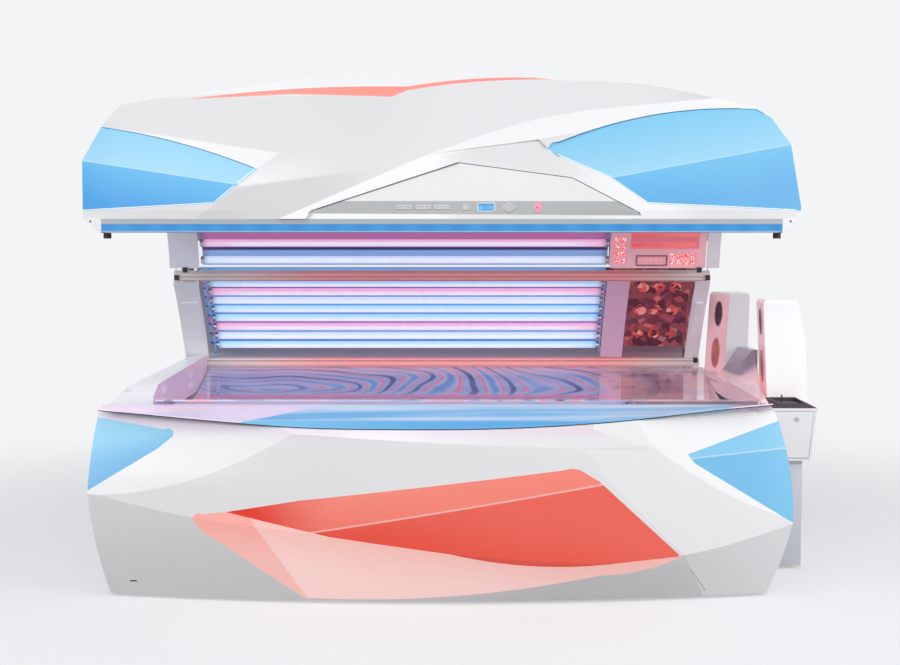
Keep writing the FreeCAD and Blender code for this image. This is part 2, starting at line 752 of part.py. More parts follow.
lock_x, lock_z = 1201, 553
lock_radius, lock_play = size("lock_radius"), 0.05
heel_radius = 7.2
door = xz_prism(door_outline, box_front, box_front + door_depth)
door = door.cut(rod(wire_radius + wire_play, (1090, *hinge_line), (1260, *hinge_line)))
door = door.cut(rod(lock_radius + lock_play, (lock_x, box_front - 100, lock_z), (lock_x, 0, lock_z)))
lower_edge = span((1080, 1280), (box_front - 5, box_front + 20), (box_bottom, hinge_line[1]))
solid("service_door", door.cut(lower_edge.cut(rod(heel_radius, (1080, *hinge_line), (1280, *hinge_line)))))

barrel = rod(lock_radius, (lock_x, box_front - 2, lock_z), (lock_x, box_front + 24, lock_z))
cam = span((lock_x - 5, lock_x + 24), (box_front + 20, box_front + 23), (lock_z - 6, lock_z + 6))
key_slot = span((lock_x - 1, lock_x + 1), (box_front - 3, box_front + 3), (lock_z - 5, lock_z + 5))
solid("door_lock", barrel.fuse(cam).cut(key_slot))

dish = upright([
    (box_top, [(1114, box_front), (1276, box_front), (1276, 0), (1114, 0)]),
    (box_top + 18, [(1136, box_front + 4), (1240, box_front + 4), (1240, 0), (1130, 0)]),
])
dish = dish.cut(upright([
    (box_top + 6, [(1140, box_front + 12), (1234, box_front + 12), (1234, -8), (1136, -8)]),
    (box_top + 19, [(1142, box_front + 10), (1234, box_front + 10), (1234, -6), (1138, -6)]),
]))
stud = rod(3, (1176, -60, box_top + 6), (1176, -60, box_top + 34))
solid("service_tray", dish.fuse(stud))

# ---------------------------------------------------------------- canopy shell
# The lifting half: bowed like the base, leaning back in two facets to a roof ridge.
# A raised strap runs across the facets, from the bar up over the right-hand window.
bar_bottom, bar_top = size("bar_bottom"), size("bar_top")
ridge_y = -395
crease_rise = smooth([(-1299, 1473), (-1030, 1431), (-761, 1390), (-447, 1428), (-219, 1458), (-27, 1467),
                      (150, 1448), (343, 1420), (480, 1412), (818, 1472), (1104, 1529)])
ridge_height = smooth([(-1299, 1630), (-1214, 1661), (-1023, 1693), (-809, 1722), (-467, 1768),
                       (-152, 1786), (47, 1780), (138, 1764), (293, 1756), (458, 1749), (606, 1734),
                       (778, 1708), (1015, 1655), (1108, 1612)])
lean = 0.5
brow_height, brow_setback, lip_back = bar_top + 27, 8, 3


def lower_facet(x, z):
    """Y of the canopy's lower front facet."""
    return front(x) + brow_setback + (z - brow_height) * lean


def canopy_front(x, z):
    """Y of the canopy's front, from the brow over the crease to the ridge."""
    crease = crease_rise(x)
    if z < crease:
        return lower_facet(x, z)
    share = (z - crease) / (ridge_height(x) - crease)
    return lower_facet(x, crease) * (1 - share) + ridge_y * share


def canopy_ring(x):
    """Cross-section of the canopy from the light bar over the roof to the back."""
    y, crease, ridge = front(x), crease_rise(x), ridge_height(x)
    return [(y + lip_back, bar_top), (y + brow_setback, brow_height), (lower_facet(x, crease), crease),
            (ridge_y, ridge), (ridge_y + 330, ridge + 6), (ridge_y + 700, ridge - 60),
            (ridge_y + 950, ridge - 220), (ridge_y + 1040, bar_top + 90), (ridge_y + 1045, bar_top)]


def canopy_hollow_ring(x):
    ring = inset_ring(canopy_ring(x), skin)
    return [(ring[0][0], bar_top - 80)] + ring + [(ring[-1][0], bar_top - 80)]


canopy_taper = 80
canopy_middle = Vector(bed_middle, 0, 1450)
canopy_planes = [
    end_plane((-1266, 1276), (-1299, 1473), canopy_taper),
    end_plane((-1299, 1473), (-1257, 1592), canopy_taper),
    end_plane((-1257, 1592), (-1205, 1668), canopy_taper),
    end_plane((1087, 1276), (1109, 1311), -canopy_taper),
    end_plane((1109, 1311), (1104, 1529), -canopy_taper),
    end_plane((1104, 1529), (1061, 1621), -canopy_taper),
    end_plane((1061, 1621), (1005, 1660), -canopy_taper),
]
canopy_outer = trimmed(lofted(STATIONS, canopy_ring), canopy_planes, 0, canopy_middle)
canopy_inner = trimmed(lofted(STATIONS, canopy_hollow_ring), canopy_planes, skin, canopy_middle)
canopy_skin = canopy_outer.cut(canopy_inner)

window_left_outline = [(-1500, 1600), (-1257, 1592), (-960, 1531, -688, 1440), (-824, 1326), (-1281, 1302),
                       (-1500, 1290)]
window_right_outline = [(267, 1506), (276, 1522, 302, 1530), (600, 1622, 1013, 1652), (1400, 1700),
                        (1400, 1300), (1099, 1303), (588, 1326), (465, 1412), (300, 1484)]
coral_outline = [(-961, 1686), (-600, 1719, -202, 1725), (0, 1752, 160, 1760), (303, 1758), (380, 1775),
                 (380, 1752), (150, 1751, -201, 1712), (-251, 1689), (-600, 1701)]
crown_outline = [(-1500, 1560), (-1257, 1640), (-961, 1686), (-600, 1719, -202, 1725), (0, 1752, 160, 1760),
                 (303, 1758), (1500, 1758), (1500, 1900), (-1500, 1900)]
console_outline = [(-514, 1293), (-505, 1303), (-27, 1461), (343, 1412), (560, 1297), (566, 1287)]

strap_top = smooth([(-640, 1262), (-445, 1355), (-283, 1425), (-134, 1482), (-21, 1528), (81, 1564),
                    (241, 1602), (451, 1641), (715, 1668), (980, 1660)])
strap_bottom = smooth([(-640, 1246), (-514, 1292), (-270, 1378), (-27, 1465), (100, 1514), (238, 1538),
                       (451, 1580), (653, 1625), (827, 1644), (980, 1650)])
strap_outline = [(-610, bar_top), (-541, 1313), (-330, 1407, -134, 1482), (-21, 1530, 100, 1566),
                 (340, 1627, 640, 1660), (800, 1670, 940, 1654), (940, 1600), (300, 1480), (268, 1507),
                 (238, 1538), (-115, 1489), (-27, 1460), (-514, 1288), (-520, bar_top)]
strap_stations = range(-640, 1000, 90)
strap_least, strap_margin = 40, 35
strap_step, strap_tilt, strap_depth = 1.5, 0.09, 10


def strap_ring(x):
    """Cross-section of the strap: level with its top edge's step, tilted out towards its lower edge."""
    top = strap_top(x)
    low = min(strap_bottom(x), top - strap_least)
    slope = (canopy_front(x, top) - canopy_front(x, low)) / (top - low) + strap_tilt
    y = canopy_front(x, top) - strap_step
    ends = [(y + (z - top) * slope, z) for z in (low - strap_margin, top + strap_margin)]
    return ends + [(y + strap_depth, z) for y, z in reversed(ends)]


window_depth = -330
windows_block = xz_prism(window_left_outline, front_limit, window_depth).fuse(
    xz_prism(window_right_outline, front_limit, window_depth))
coral_block = xz_prism(coral_outline, front_limit, -200)
crown_block = xz_prism(crown_outline, front_limit, 900)
crown_block = crown_block.fuse(span((-1500, 1500), (ridge_y, 900), (1200, 1900)))
console_block = xz_prism(console_outline, front_limit, window_depth)
canopy_windows = canopy_skin.common(windows_block)
solid("canopy_windows", canopy_windows)
solid("canopy_trim", canopy_skin.common(coral_block))
strap_block = xz_prism(strap_outline, front_limit, ridge_y)
strap = lofted(strap_stations, strap_ring).common(strap_block).cut(windows_block).cut(console_block)
rest = canopy_skin.cut(windows_block.fuse(coral_block))
solid("canopy_crown", rest.common(crown_block))
fascia = rest.cut(crown_block).cut(console_block).cut(strap_block)
solid("canopy_fascia", fascia.fuse(strap.cut(crown_block)).removeSplitter())
console_skin = rest.common(console_block)

# ---------------------------------------------------------------- control console and keys
# The keys lie in one row in a wedge-shaped panel and are pressed in squarely to its face.
key_play = 0.5
key_proud = 1.5
key_travel = size("key_travel")
key_height = size("key_height")
key_z = 1313
key_lean = Vector(0, 1, -lean).normalize()


def key_face(x):
    """Middle of a key on the console's face."""
    return Vector(x, lower_facet(x, key_z), key_z)


def key_block(outline, x, grow, out, depth):
    """Block with a key's outline, driven along the direction that the key is pressed in."""
    up = Vector(1, 0, 0).cross(key_lean) * -1
    start = key_face(x) - key_lean * out
    if outline == "round":
        return Part.makeCylinder(key_height / 2 + 2 + grow, depth, start, key_lean)
    ring = []
    for a, b in outline:
        a += math.copysign(grow, a) if a else 0
        b += math.copysign(grow, b) if b else 0
        ring.append(start + Vector(a, 0, 0) + up * b)
    return Part.Face(Part.makePolygon(ring + ring[:1])).extrude(key_lean * depth)


def box_outline(width, height):
    return [(-width / 2, -height / 2), (width / 2, -height / 2), (width / 2, height / 2),
            (-width / 2, height / 2)]


keys = [
    ("key_speed_low", -203, box_outline(50, key_height)),
    ("key_speed_mid", -142, box_outline(50, key_height)),
    ("key_speed_high", -82, box_outline(50, key_height)),
    ("key_face_lamp", -6, box_outline(21, 21)),
    ("key_select", 134, [(0, -18), (24, 0), (0, 18), (-24, 0)]),
    ("key_start", 225, "round"),
]
display_outline = box_outline(58, 30)
display_x = 61
hole_front, hole_depth = 10, 60
display_block = key_block(display_outline, display_x, 0, hole_front, hole_depth)
console_body = console_skin.cut(display_block)
for label, x, outline in keys:
    console_body = console_body.cut(key_block(outline, x, key_play, hole_front, hole_depth))
solid("console_panel", console_body)
solid("display_window", console_skin.common(display_block))
for label, x, outline in keys:
    solid(label, key_block(outline, x, 0, key_proud, skin + 3))

# ---------------------------------------------------------------- light bar
# The canopy's lower edge is an extruded bar with a lit strip let into its front.
bar_depth = 55
strip_top, strip_bottom, strip_depth = 1259, 1234, 8
bar_left, bar_right = -1205, 1040


def bar_ring(x):
    y = front(x)
    return [(y, bar_top - 0.5), (y, strip_top), (y + strip_depth, strip_top), (y + strip_depth, bar_bottom),
            (y + bar_depth, bar_bottom), (y + bar_depth, bar_top - 0.5)]


def strip_ring(x):
    y = front(x)
    return [(y + 1, strip_top), (y + strip_depth, strip_top), (y + strip_depth, strip_bottom),
            (y + 1, strip_bottom)]


def cap_ring(x):
    y = front(x)
    return [(y - 0.5, bar_top), (y - 0.5, bar_bottom - 1), (y + bar_depth, bar_bottom - 1),
            (y + bar_depth, bar_top)]


middle_slab = span((bar_left, bar_right), (-900, -400), (1200, 1300))
solid("light_bar", lofted(STATIONS, bar_ring).common(middle_slab))
solid("light_strip", lofted(STATIONS, strip_ring).common(middle_slab))
cap_planes = [end_plane((-1266, bar_top), (-1213, bar_bottom), canopy_taper),
              end_plane((1087, bar_top), (1049, bar_bottom), -canopy_taper)]
cap_form = trimmed(lofted(STATIONS, cap_ring), cap_planes, 0, canopy_middle)
solid("bar_end_caps", cap_form.cut(middle_slab))
bumper_height = 20
bumpers = [rod(13, (x, -585, bar_bottom - bumper_height), (x, -585, bar_bottom - 1)) for x in (-1196, 1032)]
solid("bumper_feet", Part.makeCompound(bumpers))

# ---------------------------------------------------------------- canopy lamps and frame
# Ribs across the canopy hold the lamps, and two flat arms swing it round the pins behind the wall.
canopy_arc = [(-565, 1246), (-190, 1440), (205, 1090)]
canopy_glass, canopy_sketch = body_with_sketch("canopy_acrylic", "YZ_Plane")
draw(canopy_sketch, band(canopy_arc, 0, 5))
pad = canopy_glass.newObject("PartDesign::Pad", "canopy_sheet")
pad.Profile = canopy_sketch
bind(pad, Length="Sizes.lamp_right - Sizes.lamp_left")
canopy_glass.Placement.Base = Vector(lamp_left, 0, 0)
keep(canopy_glass, "canopy_acrylic")
lamp_bank("canopy_lamps", canopy_arc, 16, 0.06)
canopy_tray_depth = 64
face_left, face_right = lamp_right + plate_width, 932
solid("canopy_reflector", Part.makeCompound([
    yz_prism(band(canopy_arc, canopy_tray_depth, canopy_tray_depth + thin), left, right)
    for left, right in ((lamp_left, lamp_right), (face_left, face_right))]))

hinge_y, hinge_height = size("hinge_y"), size("hinge_height")
pin_radius, pin_play = size("pin_radius"), size("pin_play")
arm_thickness = 12
hub_radius = 30
frame_parts = []
for x in (lamp_left - plate_width, lamp_right, face_right):
    plate = yz_prism(band(canopy_arc, 0, 130), x, x + plate_width)
    frame_parts.append(plate.common(canopy_inner))
rod_radius, rod_bore = 20, 17
for y, z in ((-420, 1520), (60, 1500)):
    ends = ((-1130, y, z), (970, y, z))
    frame_parts.append(rod(rod_radius, *ends).cut(rod(rod_bore, *ends)))
eye_top, eye_base = (410, 1140), (600, 760)
eye_pin = 4
arm_outline = [(hinge_y - 18, hinge_height - 10), (hinge_y - 200, hinge_height + 150), (20, 1490),
               (60, 1540), (140, 1500), (hinge_y + 60, hinge_height + 190),
               (hinge_y + 24, hinge_height + 8)]
eye_reach = 32
hinge_line = (hinge_y, hinge_height)
for x in post_x:
    left, right = x - arm_thickness / 2, x + arm_thickness / 2
    hub = rod(hub_radius, (left, *hinge_line), (right, *hinge_line))
    bore = rod(pin_radius + pin_play, (x - 40, *hinge_line), (x + 40, *hinge_line))
    frame_parts.append(yz_prism(arm_outline, left, right).fuse(hub).cut(bore))
    frame_parts.append(rod(eye_pin, (x, *eye_top), (x + math.copysign(eye_reach, x), *eye_top)))
solid("canopy_frame", frame_parts[0].multiFuse(frame_parts[1:]).cut(lofted(STATIONS, bar_ring)))

# The white liner closes the canopy from below, round the lamp tunnel and the arms.
tunnel_left, tunnel_right = lamp_left - plate_width, face_right + plate_width
cover_arc = [(90, 1330), (163, 1220), (205, 1090)]
side_covers = [yz_prism(band(cover_arc, -2, 4), left, right)
               for left, right in ((-1138, tunnel_left), (tunnel_right, 986))]
floor_plate = canopy_inner.common(span((-1400, 1300), (-900, 800), (1262, 1265)))
tunnel_centre, tunnel_radius = circle_through(*canopy_arc)
tunnel_wall = tunnel_radius + 132
for left, right, radius in ((tunnel_left, tunnel_right, tunnel_wall), (-1139, 987, tunnel_radius - 2)):
    floor_plate = floor_plate.cut(rod(radius, (left, tunnel_centre.x, tunnel_centre.y),
                                      (right, tunnel_centre.x, tunnel_centre.y)))
floor_plate = floor_plate.cut(lofted(STATIONS, bar_ring)).cut(lofted(STATIONS, cap_ring))
for x in post_x:
    arm_slot = span((x - arm_thickness, x + arm_thickness), (150, 560), (1200, 1300))
    floor_plate = floor_plate.cut(arm_slot)
for cover in side_covers:
    floor_plate = floor_plate.cut(cover)
solid("canopy_liner", Part.makeCompound(floor_plate.Solids + side_covers))

# ---------------------------------------------------------------- face tanner
# A moulded panel with a glass lamp window, an air grille and two clusters of red light diodes.
tanner = yz_prism(band(canopy_arc, 0, 30), face_left, face_right)


def on_arc(z):
    """Point of the canopy arc's rear half at a height, and the unit normal pointing outwards."""
    rise = z - tunnel_centre.y
    run = math.sqrt(tunnel_radius ** 2 - rise ** 2)
    return (tunnel_centre.x + run, z), Vector(0, run, rise) / tunnel_radius


def face_block(left, right, low, high, near, far):
    """Block let into the face tanner between two heights of the arc."""
    (y0, z0), n0 = on_arc(low)
    (y1, z1), n1 = on_arc(high)
    ring = [Vector(left, y0, z0) + n0 * near, Vector(left, y1, z1) + n1 * near,
            Vector(left, y1, z1) + n1 * far, Vector(left, y0, z0) + n0 * far]
    return Part.Face(Part.makePolygon(ring + ring[:1])).extrude(Vector(right - left, 0, 0))


glass_place = (640, 904, 1164, 1228)
tanner = tanner.cut(face_block(*glass_place, -4, 24))
vents = []
for row in range(2):
    for column in range(6):
        left, low = 676 + column * 17, 1108 + row * 15
        vents.append(face_block(left, left + 11, low, low + 9, -4, 12))
tanner = tanner.cut(vents[0].multiFuse(vents[1:]))
diode_places = []
for column in range(2):
    diode_places += [(588 + column * 24, 1118 + row * 27) for row in range(4)]
for row in range(2):
    diode_places += [(804 + column * 26, 1112 + row * 24) for column in range(4)]
pocket_depth = 3
for left, right, low, high in ((574, 628, 1104, 1212), (790, 896, 1100, 1148)):
    pocket = yz_prism(band(canopy_arc, -4, pocket_depth), left, right)
    tanner = tanner.cut(pocket.common(span((left, right), (0, 400), (low, high))))
lens_radius, lens_depth, lens_sides = 9, 3.5, 8
lens_corners = [Vector(lens_radius, 0, 0)]
for i in range(lens_sides):
    angle = (i + 1) * 2 * math.pi / lens_sides
    lens_corners.append(Vector(lens_radius * math.cos(angle), lens_radius * math.sin(angle), 0))
lens_corners[-1] = lens_corners[0]
diodes = []
for x, z in diode_places:
    (y, z), normal = on_arc(z)
    turn = FreeCAD.Rotation(Vector(0, 0, 1), normal)
    lens = Part.Face(Part.makePolygon(lens_corners)).extrude(Vector(0, 0, -lens_depth))
    lens.Placement = FreeCAD.Placement(Vector(x, y, z) + normal * (pocket_depth - 0.1), turn)
    diodes.append(lens)
solid("face_tanner", tanner)
solid("face_glass", face_block(*glass_place, 1, 5))
solid("face_diodes", Part.makeCompound(diodes))

# ---------------------------------------------------------------- hinge brackets on the posts
# Two cheeks stand on each post and carry the pin between them.
brackets = []
cheek_thickness, cheek_gap = 8, 0.5
pin_reach = 18
for x in post_x:
    for side in (-1, 1):
        inner = x + side * (arm_thickness / 2 + cheek_gap)
        outer = inner + side * cheek_thickness
        cheek = yz_prism([(rail_rear, 606), (rail_rear, 660), (hinge_y - 22, hinge_height - 8),
                          (hinge_y + 22, hinge_height + 12), (rail_rear + 50, 720), (rail_rear + 50, 606)],
                         min(inner, outer), max(inner, outer))
        brackets.append(cheek)
    brackets.append(rod(pin_radius, (x - pin_reach, *hinge_line), (x + pin_reach, *hinge_line)))
    brackets.append(rod(eye_pin + 1, (x, *eye_base), (x + math.copysign(eye_reach, x), *eye_base)))
    brackets.append(span((x - 25, x + 25), (rail_rear, rail_rear + 50), (600, 612)))
solid("hinge_brackets", brackets[0].multiFuse(brackets[1:]))

# ---------------------------------------------------------------- gas springs
# One beside each arm. The cylinder swings on the post, the rod's eye has play on the arm's pin.
eye_play = 1.3
eye_radius, eye_width = 10, 9
spring_side = 24
spring_line = Vector(0, eye_top[0] - eye_base[0], eye_top[1] - eye_base[1])
spring_length = spring_line.Length
spring_line.normalize()
cylinder_radius, piston_rod, rod_play = 9, 4.5, 0.05
cylinder_start, cylinder_end, bore_start, rod_start = 9, 232, 146, 176


def across(x, reach):
    """Sideways step away from the middle of the bed, on the side that x is on."""
    return Vector(math.copysign(reach, x), 0, 0)


def spring_eye(x, centre, bore):
    """Ring at the end of a gas spring, round a pin that runs along the bed."""
    ring = Part.makeCylinder(eye_radius, eye_width, centre - across(x, eye_width / 2), across(x, 1))
    return ring.cut(pin_hole(x, centre, bore))


def pin_hole(x, centre, bore):
    return Part.makeCylinder(bore, 4 * eye_width, centre - across(x, 2 * eye_width), across(x, 1))


cylinders, rods = [], []
for x in post_x:
    start = Vector(x, *eye_base) + across(x, spring_side)
    lower_bore = eye_pin + 1.05
    barrel = Part.makeCylinder(cylinder_radius, cylinder_end - cylinder_start,
                               start + spring_line * cylinder_start, spring_line)
    barrel = barrel.cut(Part.makeCylinder(piston_rod + rod_play, cylinder_end - bore_start,
                                          start + spring_line * bore_start, spring_line))
    cylinders.append(barrel.cut(pin_hole(x, start, lower_bore)).fuse(spring_eye(x, start, lower_bore)))
    top = start + spring_line * spring_length
    shaft = Part.makeCylinder(piston_rod, spring_length - eye_radius + 2 - rod_start,
                              start + spring_line * rod_start, spring_line)
    rods.append(shaft.fuse(spring_eye(x, top, eye_pin + eye_play)))
solid("spring_cylinders", Part.makeCompound(cylinders))
solid("spring_rods", Part.makeCompound(rods))

# ---------------------------------------------------------------- electrics and cooling
# Ballast boxes and one long blower stand on the tray in the bottom of the bed.
ballast_length, ballast_height, ballast_pitch = 200, 62, 260
gear = [span((x, x + ballast_length), (120, 200), (tray_height, tray_height + ballast_height))
        for x in range(-960, 200, ballast_pitch)]
solid("ballasts", Part.makeCompound(gear))

blower_line = (-180, 210)
blower_left, blower_right = -700, 300
scroll_radius, scroll_wall, axle_radius, axle_play = 85, 6, 8, 0.05
end_wall = 5


def along_blower(radius, left, right):
    return rod(radius, (left, *blower_line), (right, *blower_line))


inside = (blower_left + end_wall, blower_right - end_wall)
scroll = along_blower(scroll_radius, blower_left, blower_right)
scroll = scroll.cut(along_blower(scroll_radius - scroll_wall, *inside))
scroll = scroll.cut(span(inside, (-300, -180), (210, 330)))
scroll = scroll.cut(along_blower(axle_radius + axle_play, blower_left - end_wall, blower_right + end_wall))
stand = span((blower_left, blower_right), (-240, -120), (tray_height, 140))
stand = stand.cut(along_blower(scroll_radius - 5, blower_left - end_wall, blower_right + end_wall))
solid("blower_housing", scroll.fuse(stand))

wheel_radius, wheel_inner, blade_count = 72, 50, 12
wheel_gap, disc_width = 10, 4
rotor = [along_blower(axle_radius, blower_left - 2, blower_right + 2)]
blade_span = (blower_left + wheel_gap, blower_right - wheel_gap)
for i in range(blade_count):
    blade = span(blade_span, (wheel_inner, wheel_radius), (-1.5, 1.5))
    blade.rotate(Vector(0, 0, 0), Vector(1, 0, 0), i * 360 / blade_count)
    blade.translate(Vector(0, *blower_line))
    rotor.append(blade)
for x in (blade_span[0], bed_middle, blade_span[1] - disc_width):
    rotor.append(along_blower(wheel_radius, x, x + disc_width))
solid("blower_rotor", rotor[0].multiFuse(rotor[1:]))

# ---------------------------------------------------------------- checks and files
doc.recompute()
os.makedirs("parts", exist_ok=True)
for item in doc.Objects:
    if "Invalid" in item.State or "Error" in item.State:
        raise RuntimeError("%s did not build: %s" % (item.Name, item.State))
for item in kept:
    shape = item.Shape
    if shape.isNull() or not shape.isValid() or not shape.Solids:
        raise RuntimeError("%s has no valid solid" % item.Label)
    shape.exportStep("parts/%s.step" % item.Label)
    print(item.Label, len(shape.Solids), "solids", round(shape.Volume / 1000), "cm3")
print(len(kept), "nodes")
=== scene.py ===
import math

import bpy
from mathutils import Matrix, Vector


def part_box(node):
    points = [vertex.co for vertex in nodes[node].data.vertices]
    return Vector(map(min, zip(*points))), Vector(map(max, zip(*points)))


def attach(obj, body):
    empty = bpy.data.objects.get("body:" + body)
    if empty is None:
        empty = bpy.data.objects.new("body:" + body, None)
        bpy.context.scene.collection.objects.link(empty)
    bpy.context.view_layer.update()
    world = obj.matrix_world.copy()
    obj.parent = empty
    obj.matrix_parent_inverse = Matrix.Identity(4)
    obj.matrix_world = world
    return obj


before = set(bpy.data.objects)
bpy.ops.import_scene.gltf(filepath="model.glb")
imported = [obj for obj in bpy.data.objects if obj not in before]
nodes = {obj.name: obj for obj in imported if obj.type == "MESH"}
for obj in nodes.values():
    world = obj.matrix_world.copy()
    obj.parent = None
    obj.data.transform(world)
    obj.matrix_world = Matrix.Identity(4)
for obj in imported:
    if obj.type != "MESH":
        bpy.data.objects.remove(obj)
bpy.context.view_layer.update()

# -------------------- camera
# A long lens at standing height in front of the bed, pitched a little down and shifted by two pixels
# so that the bed stands in the middle.
FOCAL_PIXELS = 1481
IMAGE_WIDTH = 900
SENSOR_WIDTH = 36
EYE = (-0.0625, -5.525, 1.255)
TILT_DOWN = math.radians(4.14)
camera_data = bpy.data.cameras.new("camera")
camera_data.sensor_width = SENSOR_WIDTH
camera_data.lens = FOCAL_PIXELS / IMAGE_WIDTH * SENSOR_WIDTH
camera_data.shift_x = 2 / IMAGE_WIDTH
camera_data.clip_end = 60
camera = bpy.data.objects.new("camera", camera_data)
camera.location = EYE
camera.rotation_euler = (math.radians(90) - TILT_DOWN, 0, 0)
bpy.context.collection.objects.link(camera)
bpy.context.scene.camera = camera

# -------------------- room and lights
# A pale studio. Broad soft boxes stand overhead, high in front and at both sides, the right one
# strongest, and glass and metal see the room as nearly white.
bpy.context.scene.view_settings.view_transform = "Standard"


def shade(red, green, blue):
    """Colour of a paint chip, from 0 to 255 on a screen, as the light that it gives back."""
    return tuple(((value / 255 + 0.055) / 1.055) ** 2.4 for value in (red, green, blue))


def add(tree, kind, settings=None, **inputs):
    """Node of a kind; inputs are values or sockets, and i0, i1 pick one by its number."""
    node = tree.nodes.new("ShaderNode" + kind)
    for key, value in (settings or {}).items():
        setattr(node, key, value)
    for key, value in inputs.items():
        place = int(key[1:]) if key[0] == "i" and key[1:].isdigit() else key.replace("_", " ")
        socket = node.inputs[place]
        if isinstance(value, bpy.types.NodeSocket):
            tree.links.new(value, socket)
        elif socket.type == "RGBA":
            socket.default_value = (*value, 1)
        else:
            socket.default_value = value
    return node


def maths(tree, operation, first, second=0.0):
    return add(tree, "Math", {"operation": operation}, i0=first, i1=second).outputs[0]


def mix_shader(tree, share, first, second):
    return add(tree, "MixShader", i0=share, i1=first, i2=second).outputs[0]


def seen_directly(tree):
    """1 where the eye, a mirror or glass looks at a surface, 0 where it only gives light."""
    rays = add(tree, "LightPath").outputs
    seen = maths(tree, "MAXIMUM", rays["Is Camera Ray"], rays["Is Glossy Ray"])
    return maths(tree, "MAXIMUM", seen, rays["Is Transmission Ray"])


BACKDROP = shade(243, 244, 246)
world = bpy.data.worlds.new("room")
world.use_nodes = True
bpy.context.scene.world = world
room = world.node_tree
room.nodes.clear()
fill_light = add(room, "Background", Color=(0.95, 0.96, 1.0), Strength=0.40).outputs[0]
backdrop = add(room, "Background", Color=BACKDROP, Strength=1.0).outputs[0]
add(room, "OutputWorld", Surface=mix_shader(room, seen_directly(room), fill_light, backdrop))


def soft_box(name, place, aim, width, height, power):
    """Area light of a given size, turned towards a point."""
    data = bpy.data.lights.new(name, "AREA")
    data.shape = "RECTANGLE"
    data.size = width
    data.size_y = height
    data.energy = power
    light = bpy.data.objects.new(name, data)
    light.location = place
    light.rotation_euler = (Vector(aim) - Vector(place)).to_track_quat("-Z", "Y").to_euler()
    bpy.context.collection.objects.link(light)


soft_box("overhead_box", (-0.8, -2.2, 4.6), (0, -0.2, 0.9), 4.6, 2.4, 46)
soft_box("left_box", (-4.8, -3.6, 2.8), (-0.4, 0, 0.9), 2.6, 3.0, 84)
soft_box("right_box", (5.0, -2.6, 2.6), (0.4, 0, 0.9), 2.4, 3.0, 150)
soft_box("front_box", (-0.6, -6.6, 3.2), (0, -0.5, 0.6), 5.0, 1.6, 112)

# -------------------- white shell
# Large vacuum-formed covers in glossy white lacquer, clipped to the frame from inside. They carry
# the faint orange peel of sprayed plastic, and the rear ones are a little duller.


def blank(name):
    """New material with an empty node tree; gives the material and its tree."""
    material = bpy.data.materials.new(name)
    material.use_nodes = True
    material.node_tree.nodes.clear()
    return material, material.node_tree


def place_of(tree):
    """Place on the object, in metres."""
    return add(tree, "TexCoord").outputs["Object"]


def axes(tree):
    """The same place as x, y and z."""
    return tuple(add(tree, "SeparateXYZ", Vector=place_of(tree)).outputs)


def stretched(tree, scale):
    return add(tree, "Mapping", Vector=place_of(tree), Scale=scale).outputs[0]


def noise(tree, scale, detail=3.0, roughness=0.5, where=None):
    return add(tree, "TexNoise", Vector=where or place_of(tree), Scale=scale, Detail=detail,
               Roughness=roughness).outputs[0]


def between(tree, value, start, end, low=0.0, high=1.0, kind="LINEAR"):
    """Maps a value that runs from start to end onto low to high, and holds it there."""
    return add(tree, "MapRange", {"interpolation_type": kind}, Value=value, From_Min=start, From_Max=end,
               To_Min=low, To_Max=high).outputs[0]


def softly(tree, value, start, end, low=0.0, high=1.0):
    """The same with a soft turn at both ends."""
    return between(tree, value, start, end, low, high, "SMOOTHSTEP")


def uneven(tree, low, high, scale, detail=3.0, where=None):
    """Noise that runs from low to high."""
    return between(tree, noise(tree, scale, detail, where=where), 0.0, 1.0, low, high)


def times(tree, first, *others):
    for other in others:
        first = maths(tree, "MULTIPLY", first, other)
    return first


def blend(tree, amount, low, high):
    """Colour between two others."""
    return add(tree, "Mix", {"data_type": "RGBA"}, i0=amount, i6=low, i7=high).outputs[2]


def dot(tree, first, second):
    return add(tree, "VectorMath", {"operation": "DOT_PRODUCT"}, i0=first, i1=second).outputs["Value"]


def facing(tree, direction):
    """How far a face looks in a direction, from -1 to 1."""
    return dot(tree, add(tree, "TexCoord").outputs["Normal"], direction)


def bumps(tree, height, distance, strength=1.0, invert=False):
    return add(tree, "Bump", {"invert": invert}, Height=height, Distance=distance,
               Strength=strength).outputs[0]


def surface(tree, colour, roughness, glow=0.0, darker=0.0, **more):
    """Solid surface that may glow in its own colour; its pigment may be darker than its glow."""
    pigment = blend(tree, darker, colour, (0, 0, 0)) if darker else colour
    more = {"Base_Color": pigment, "Emission_Color": colour, "Emission_Strength": glow, **more}
    return add(tree, "BsdfPrincipled", Roughness=roughness, **more).outputs[0]


def finished(material, shader):
    tree = material.node_tree
    tree.links.new(shader, add(tree, "OutputMaterial").inputs["Surface"])
    return material


def moulded(name, light, dark, roughness, grain=220, depth=0.00006, metallic=0.0, coat=0.0,
            stretch=(1, 1, 1), tinge=None, glow=0.0):
    """Moulded or painted surface: clouded colour, uneven gloss and a fine skin. Tinge recolours parts
    of it, and glow is painted lamp light: an even glow in its own colour for the lamps' light on it."""
    material, tree = blank(name)
    where = stretched(tree, stretch)
    colour = blend(tree, noise(tree, 3.0, 4.0, where=where), light, dark)
    if tinge:
        colour = tinge(tree, colour)
    gloss = uneven(tree, roughness * 0.92, roughness * 1.12, 5.0, 2.0, where)
    skin = bumps(tree, noise(tree, grain, 2.0, where=where), depth, 0.5)
    return finished(material, surface(tree, colour, gloss, glow, Metallic=metallic, Normal=skin,
                                      Coat_Weight=coat, Coat_Roughness=0.08))


def paint(material, *names):
    """Gives CAD nodes their material without touching their meshes."""
    for name in names:
        for place in nodes[name].material_slots:
            place.link = "OBJECT"
            place.material = material


